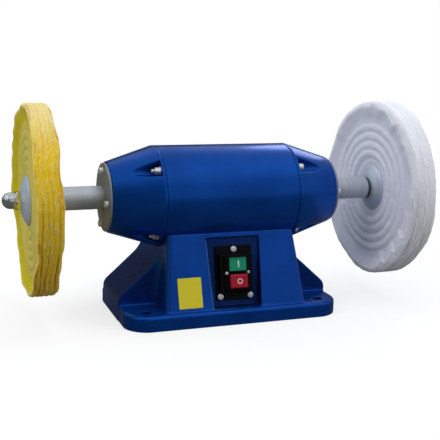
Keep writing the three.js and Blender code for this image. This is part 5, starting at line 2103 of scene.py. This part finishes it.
@dataclass(frozen=True)
class Studio:
    """Pale floor, soft light, and the camera where the photograph's stood.

    The surroundings light the object from above and behind, and weakly from elsewhere. Gloss sees other
    surroundings: a white pane high behind on the right, a lit top, less light ahead and on the left, and
    a dark lower half.
    """

    eye: Triple = (-0.411719, -1.135248, 0.36883)
    yaw: float = 0.35
    pitch: float = 0.197
    roll: float = 0.022
    focal_share: float = 851.416 / 440
    sensor: float = 36.0
    clip: Pair = (0.01, 50.0)
    daylight: Colour = (0.9, 0.95, 1.0, 1.0)
    back_light: float = 0.72
    front_light: float = 0.2
    dim_light: float = 0.17
    gloss_front: float = 0.42
    gloss_left: float = 0.55
    gloss_top: float = 0.6
    gloss_dim: float = 0.07
    floor_bounce: float = 0.17
    floor_pale: float = 0.9
    floor_glow: float = 0.72
    floor_mirror: float = 0.06
    floor_reach: Pair = (0.3, 1.0)
    floor_size: float = 6000.0
    lamps: tuple[Lamp, ...] = (
        Lamp("key_lamp", (0.1, -0.25, 1.6), (0.0, 0.0, 0.15), 5.4),
        Lamp("right_lamp", (1.4, -1.3, 0.55), (0.0, 0.0, 0.12), 9.8),
        Lamp("left_lamp", (-1.5, -0.4, 1.2), (0.2, 0.0, 0.15), 11.0),
        Lamp("back_lamp", (0.98, 1.0, 1.02), (0.1, 0.0, 0.17), 3.0, size=0.75, mirrored=True))

    def camera(self) -> None:
        """Sets the camera from the fitted place and turns."""
        yaw, pitch, roll = self.yaw, self.pitch, self.roll
        level = math.cos(pitch)
        ahead = np.array([math.sin(yaw) * level, math.cos(yaw) * level, -math.sin(pitch)])
        across = np.array([math.cos(yaw), -math.sin(yaw), 0.0])
        up = np.cross(across, ahead)
        right = math.cos(roll) * across + math.sin(roll) * up
        top = -math.sin(roll) * across + math.cos(roll) * up
        place = np.eye(4)
        place[:3, 0], place[:3, 1], place[:3, 2], place[:3, 3] = right, top, -ahead, self.eye
        data = bpy.data.cameras.new("photo_camera")
        data.sensor_width, data.lens = self.sensor, self.sensor * self.focal_share
        data.clip_start, data.clip_end = self.clip
        camera = bpy.data.objects.new("photo_camera", data)
        camera.matrix_world = Matrix(place.tolist())
        bpy.context.scene.collection.objects.link(camera)
        bpy.context.scene.camera = camera

    def world(self) -> None:
        """Shows white to the camera, and lights the object and its gloss by direction."""
        world = bpy.data.worlds.new("studio_world")
        bpy.context.scene.world = world
        world.use_nodes = True
        nodes = Nodes(world.node_tree)
        x, y, z = nodes.parts(nodes.node("ShaderNodeTexCoord").outputs["Generated"])
        behind = (y * 0.6 + z * 0.8).step(0.0, 0.65)
        front = (x * 0.6 - y * 0.8).step(0.0, 0.9)
        aside = x.step(0.1, 0.6)
        pane = (z + aside * 0.12).step(0.38, 0.6) * y.step(0.35, 0.7) * (aside * 0.5 + 0.5)
        left = (-x).step(0.3, 0.75) * z.step(0.0, 0.5)
        soft = behind * self.back_light + front * self.front_light + self.dim_light
        top = z.step(0.4, 0.9)
        ahead = front * (x.step(-0.45, 0.1) + z.step(0.6, 0.9)).capped()
        mirrored = ahead * self.gloss_front + left * self.gloss_left + top * self.gloss_top + self.gloss_dim
        level = soft + nodes.ray("Glossy") * (mirrored - soft)
        soft, white = (nodes.node("ShaderNodeBackground", sockets={"Color": tint, "Strength": strength})
                       for tint, strength in ((self.daylight, level), (WHITE, 1.0)))
        seen = nodes.ray("Camera").larger(nodes.ray("Transmission"))
        seen = seen.larger(nodes.ray("Glossy") * pane)
        both = nodes.blend(seen, soft.outputs[0], white.outputs[0])
        nodes.node("ShaderNodeOutputWorld", sockets={"Surface": both})

    def floor(self) -> None:
        """Lays the floor: pale and glowing to the camera, all the more so away from the object."""
        shader = Shader("studio_floor")
        camera = shader.ray("Camera")
        grey = camera * self.floor_pale + shader.ray("Diffuse") * self.floor_bounce + self.floor_mirror
        shader.dress(Base_Color=shader.mix(grey, BLACK, WHITE), Roughness=0.9, Specular_IOR_Level=0.0)
        x, y, _ = shader.parts(shader.place)
        away = ((x * x + y * y) ** 0.5).step(*self.floor_reach)
        share = away * (1.0 - self.floor_glow) + self.floor_glow
        seen = camera.larger(shader.ray("Transmission"))
        seen = seen.larger(shader.ray("Glossy") * self.floor_mirror)
        glow = shader.node("ShaderNodeEmission", sockets={"Color": WHITE, "Strength": 1.0})
        both = shader.blend(seen * share, shader.surface.outputs[0], glow.outputs[0])
        shader.tree.links.new(both, shader.output.inputs["Surface"])
        corners = self.floor_size * np.array([(-1, -1, 0), (1, -1, 0), (1, 1, 0), (-1, 1, 0)])
        floor = mesh_of("studio_floor", corners, np.array([[0, 1, 2, 3]]))
        floor.data.materials.append(shader.material)

    def build(self) -> None:
        """Sets up the camera, the world, the floor and the lamps."""
        self.camera()
        self.world()
        self.floor()
        for lamp in self.lamps:
            lamp.build()
        bpy.context.scene.view_settings.view_transform = "Standard"


def main() -> None:
    """Builds every sub-assembly in order."""
    logging.basicConfig(level=logging.INFO, format="%(message)s")
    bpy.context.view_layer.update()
    ends = [part for side, turn in ((Side.LEFT, -5.0), (Side.RIGHT, -3.0))
            for part in (EndBell(side), BearingCap(side, turn), ShaftEnd(side))]
    left_wheel = ClothWheel(
        Side.LEFT, Finish.YELLOW_CLOTH, seed=11, radius=128.8, rim=(15.4, 15.2), bundles=5, lip=(5.0, 3.0),
        groove=1.5, scallop=2.4, lobes=(11, 6), fold=1.8, outline_wave=1.2, puff=1.2, fray=0.42)
    right_wheel = ClothWheel(
        Side.RIGHT, Finish.WHITE_CLOTH, seed=29, radius=131.0, rim=(18.6, 17.7), bundles=9, lip=(11.0, 5.0),
        groove=0.7, scallop=4.5, lobes=(8, 5), fold=1.6, outline_wave=0.9, puff=1.45, lean=4.0, belly=4.5,
        ply=0.12, stitches=(44.5, 58.0, 71.5, 85.0, 98.5),
        pleats=((121.0, 14.0, 7.0), (139.0, 12.0, 5.0), (193.0, -12.0, 6.0), (211.0, -12.0, 7.5),
                (226.0, -11.0, 6.5), (244.0, -13.0, 7.0)))
    hidden = HiddenPieces({
        "winding": Finish.WIRE, "_core": Finish.SHEETS, "cover": Finish.DARK_SHEET,
        "capacitor_clamp": Finish.ZINC, "run_capacitor": Finish.CREAM, "gland": Finish.BLACK,
        "bolt": Finish.ZINC, "screw": Finish.ZINC, "bearing": Finish.FLANGE_STEEL,
        "shaft": Finish.FLANGE_STEEL})
    for part in (Studio(), Stand(), MotorTube(), *ends, TieBolts(), left_wheel, right_wheel, SwitchPanel(),
                 PlainPlate(), hidden):
        part.build()


if __name__ == "__main__":
    main()
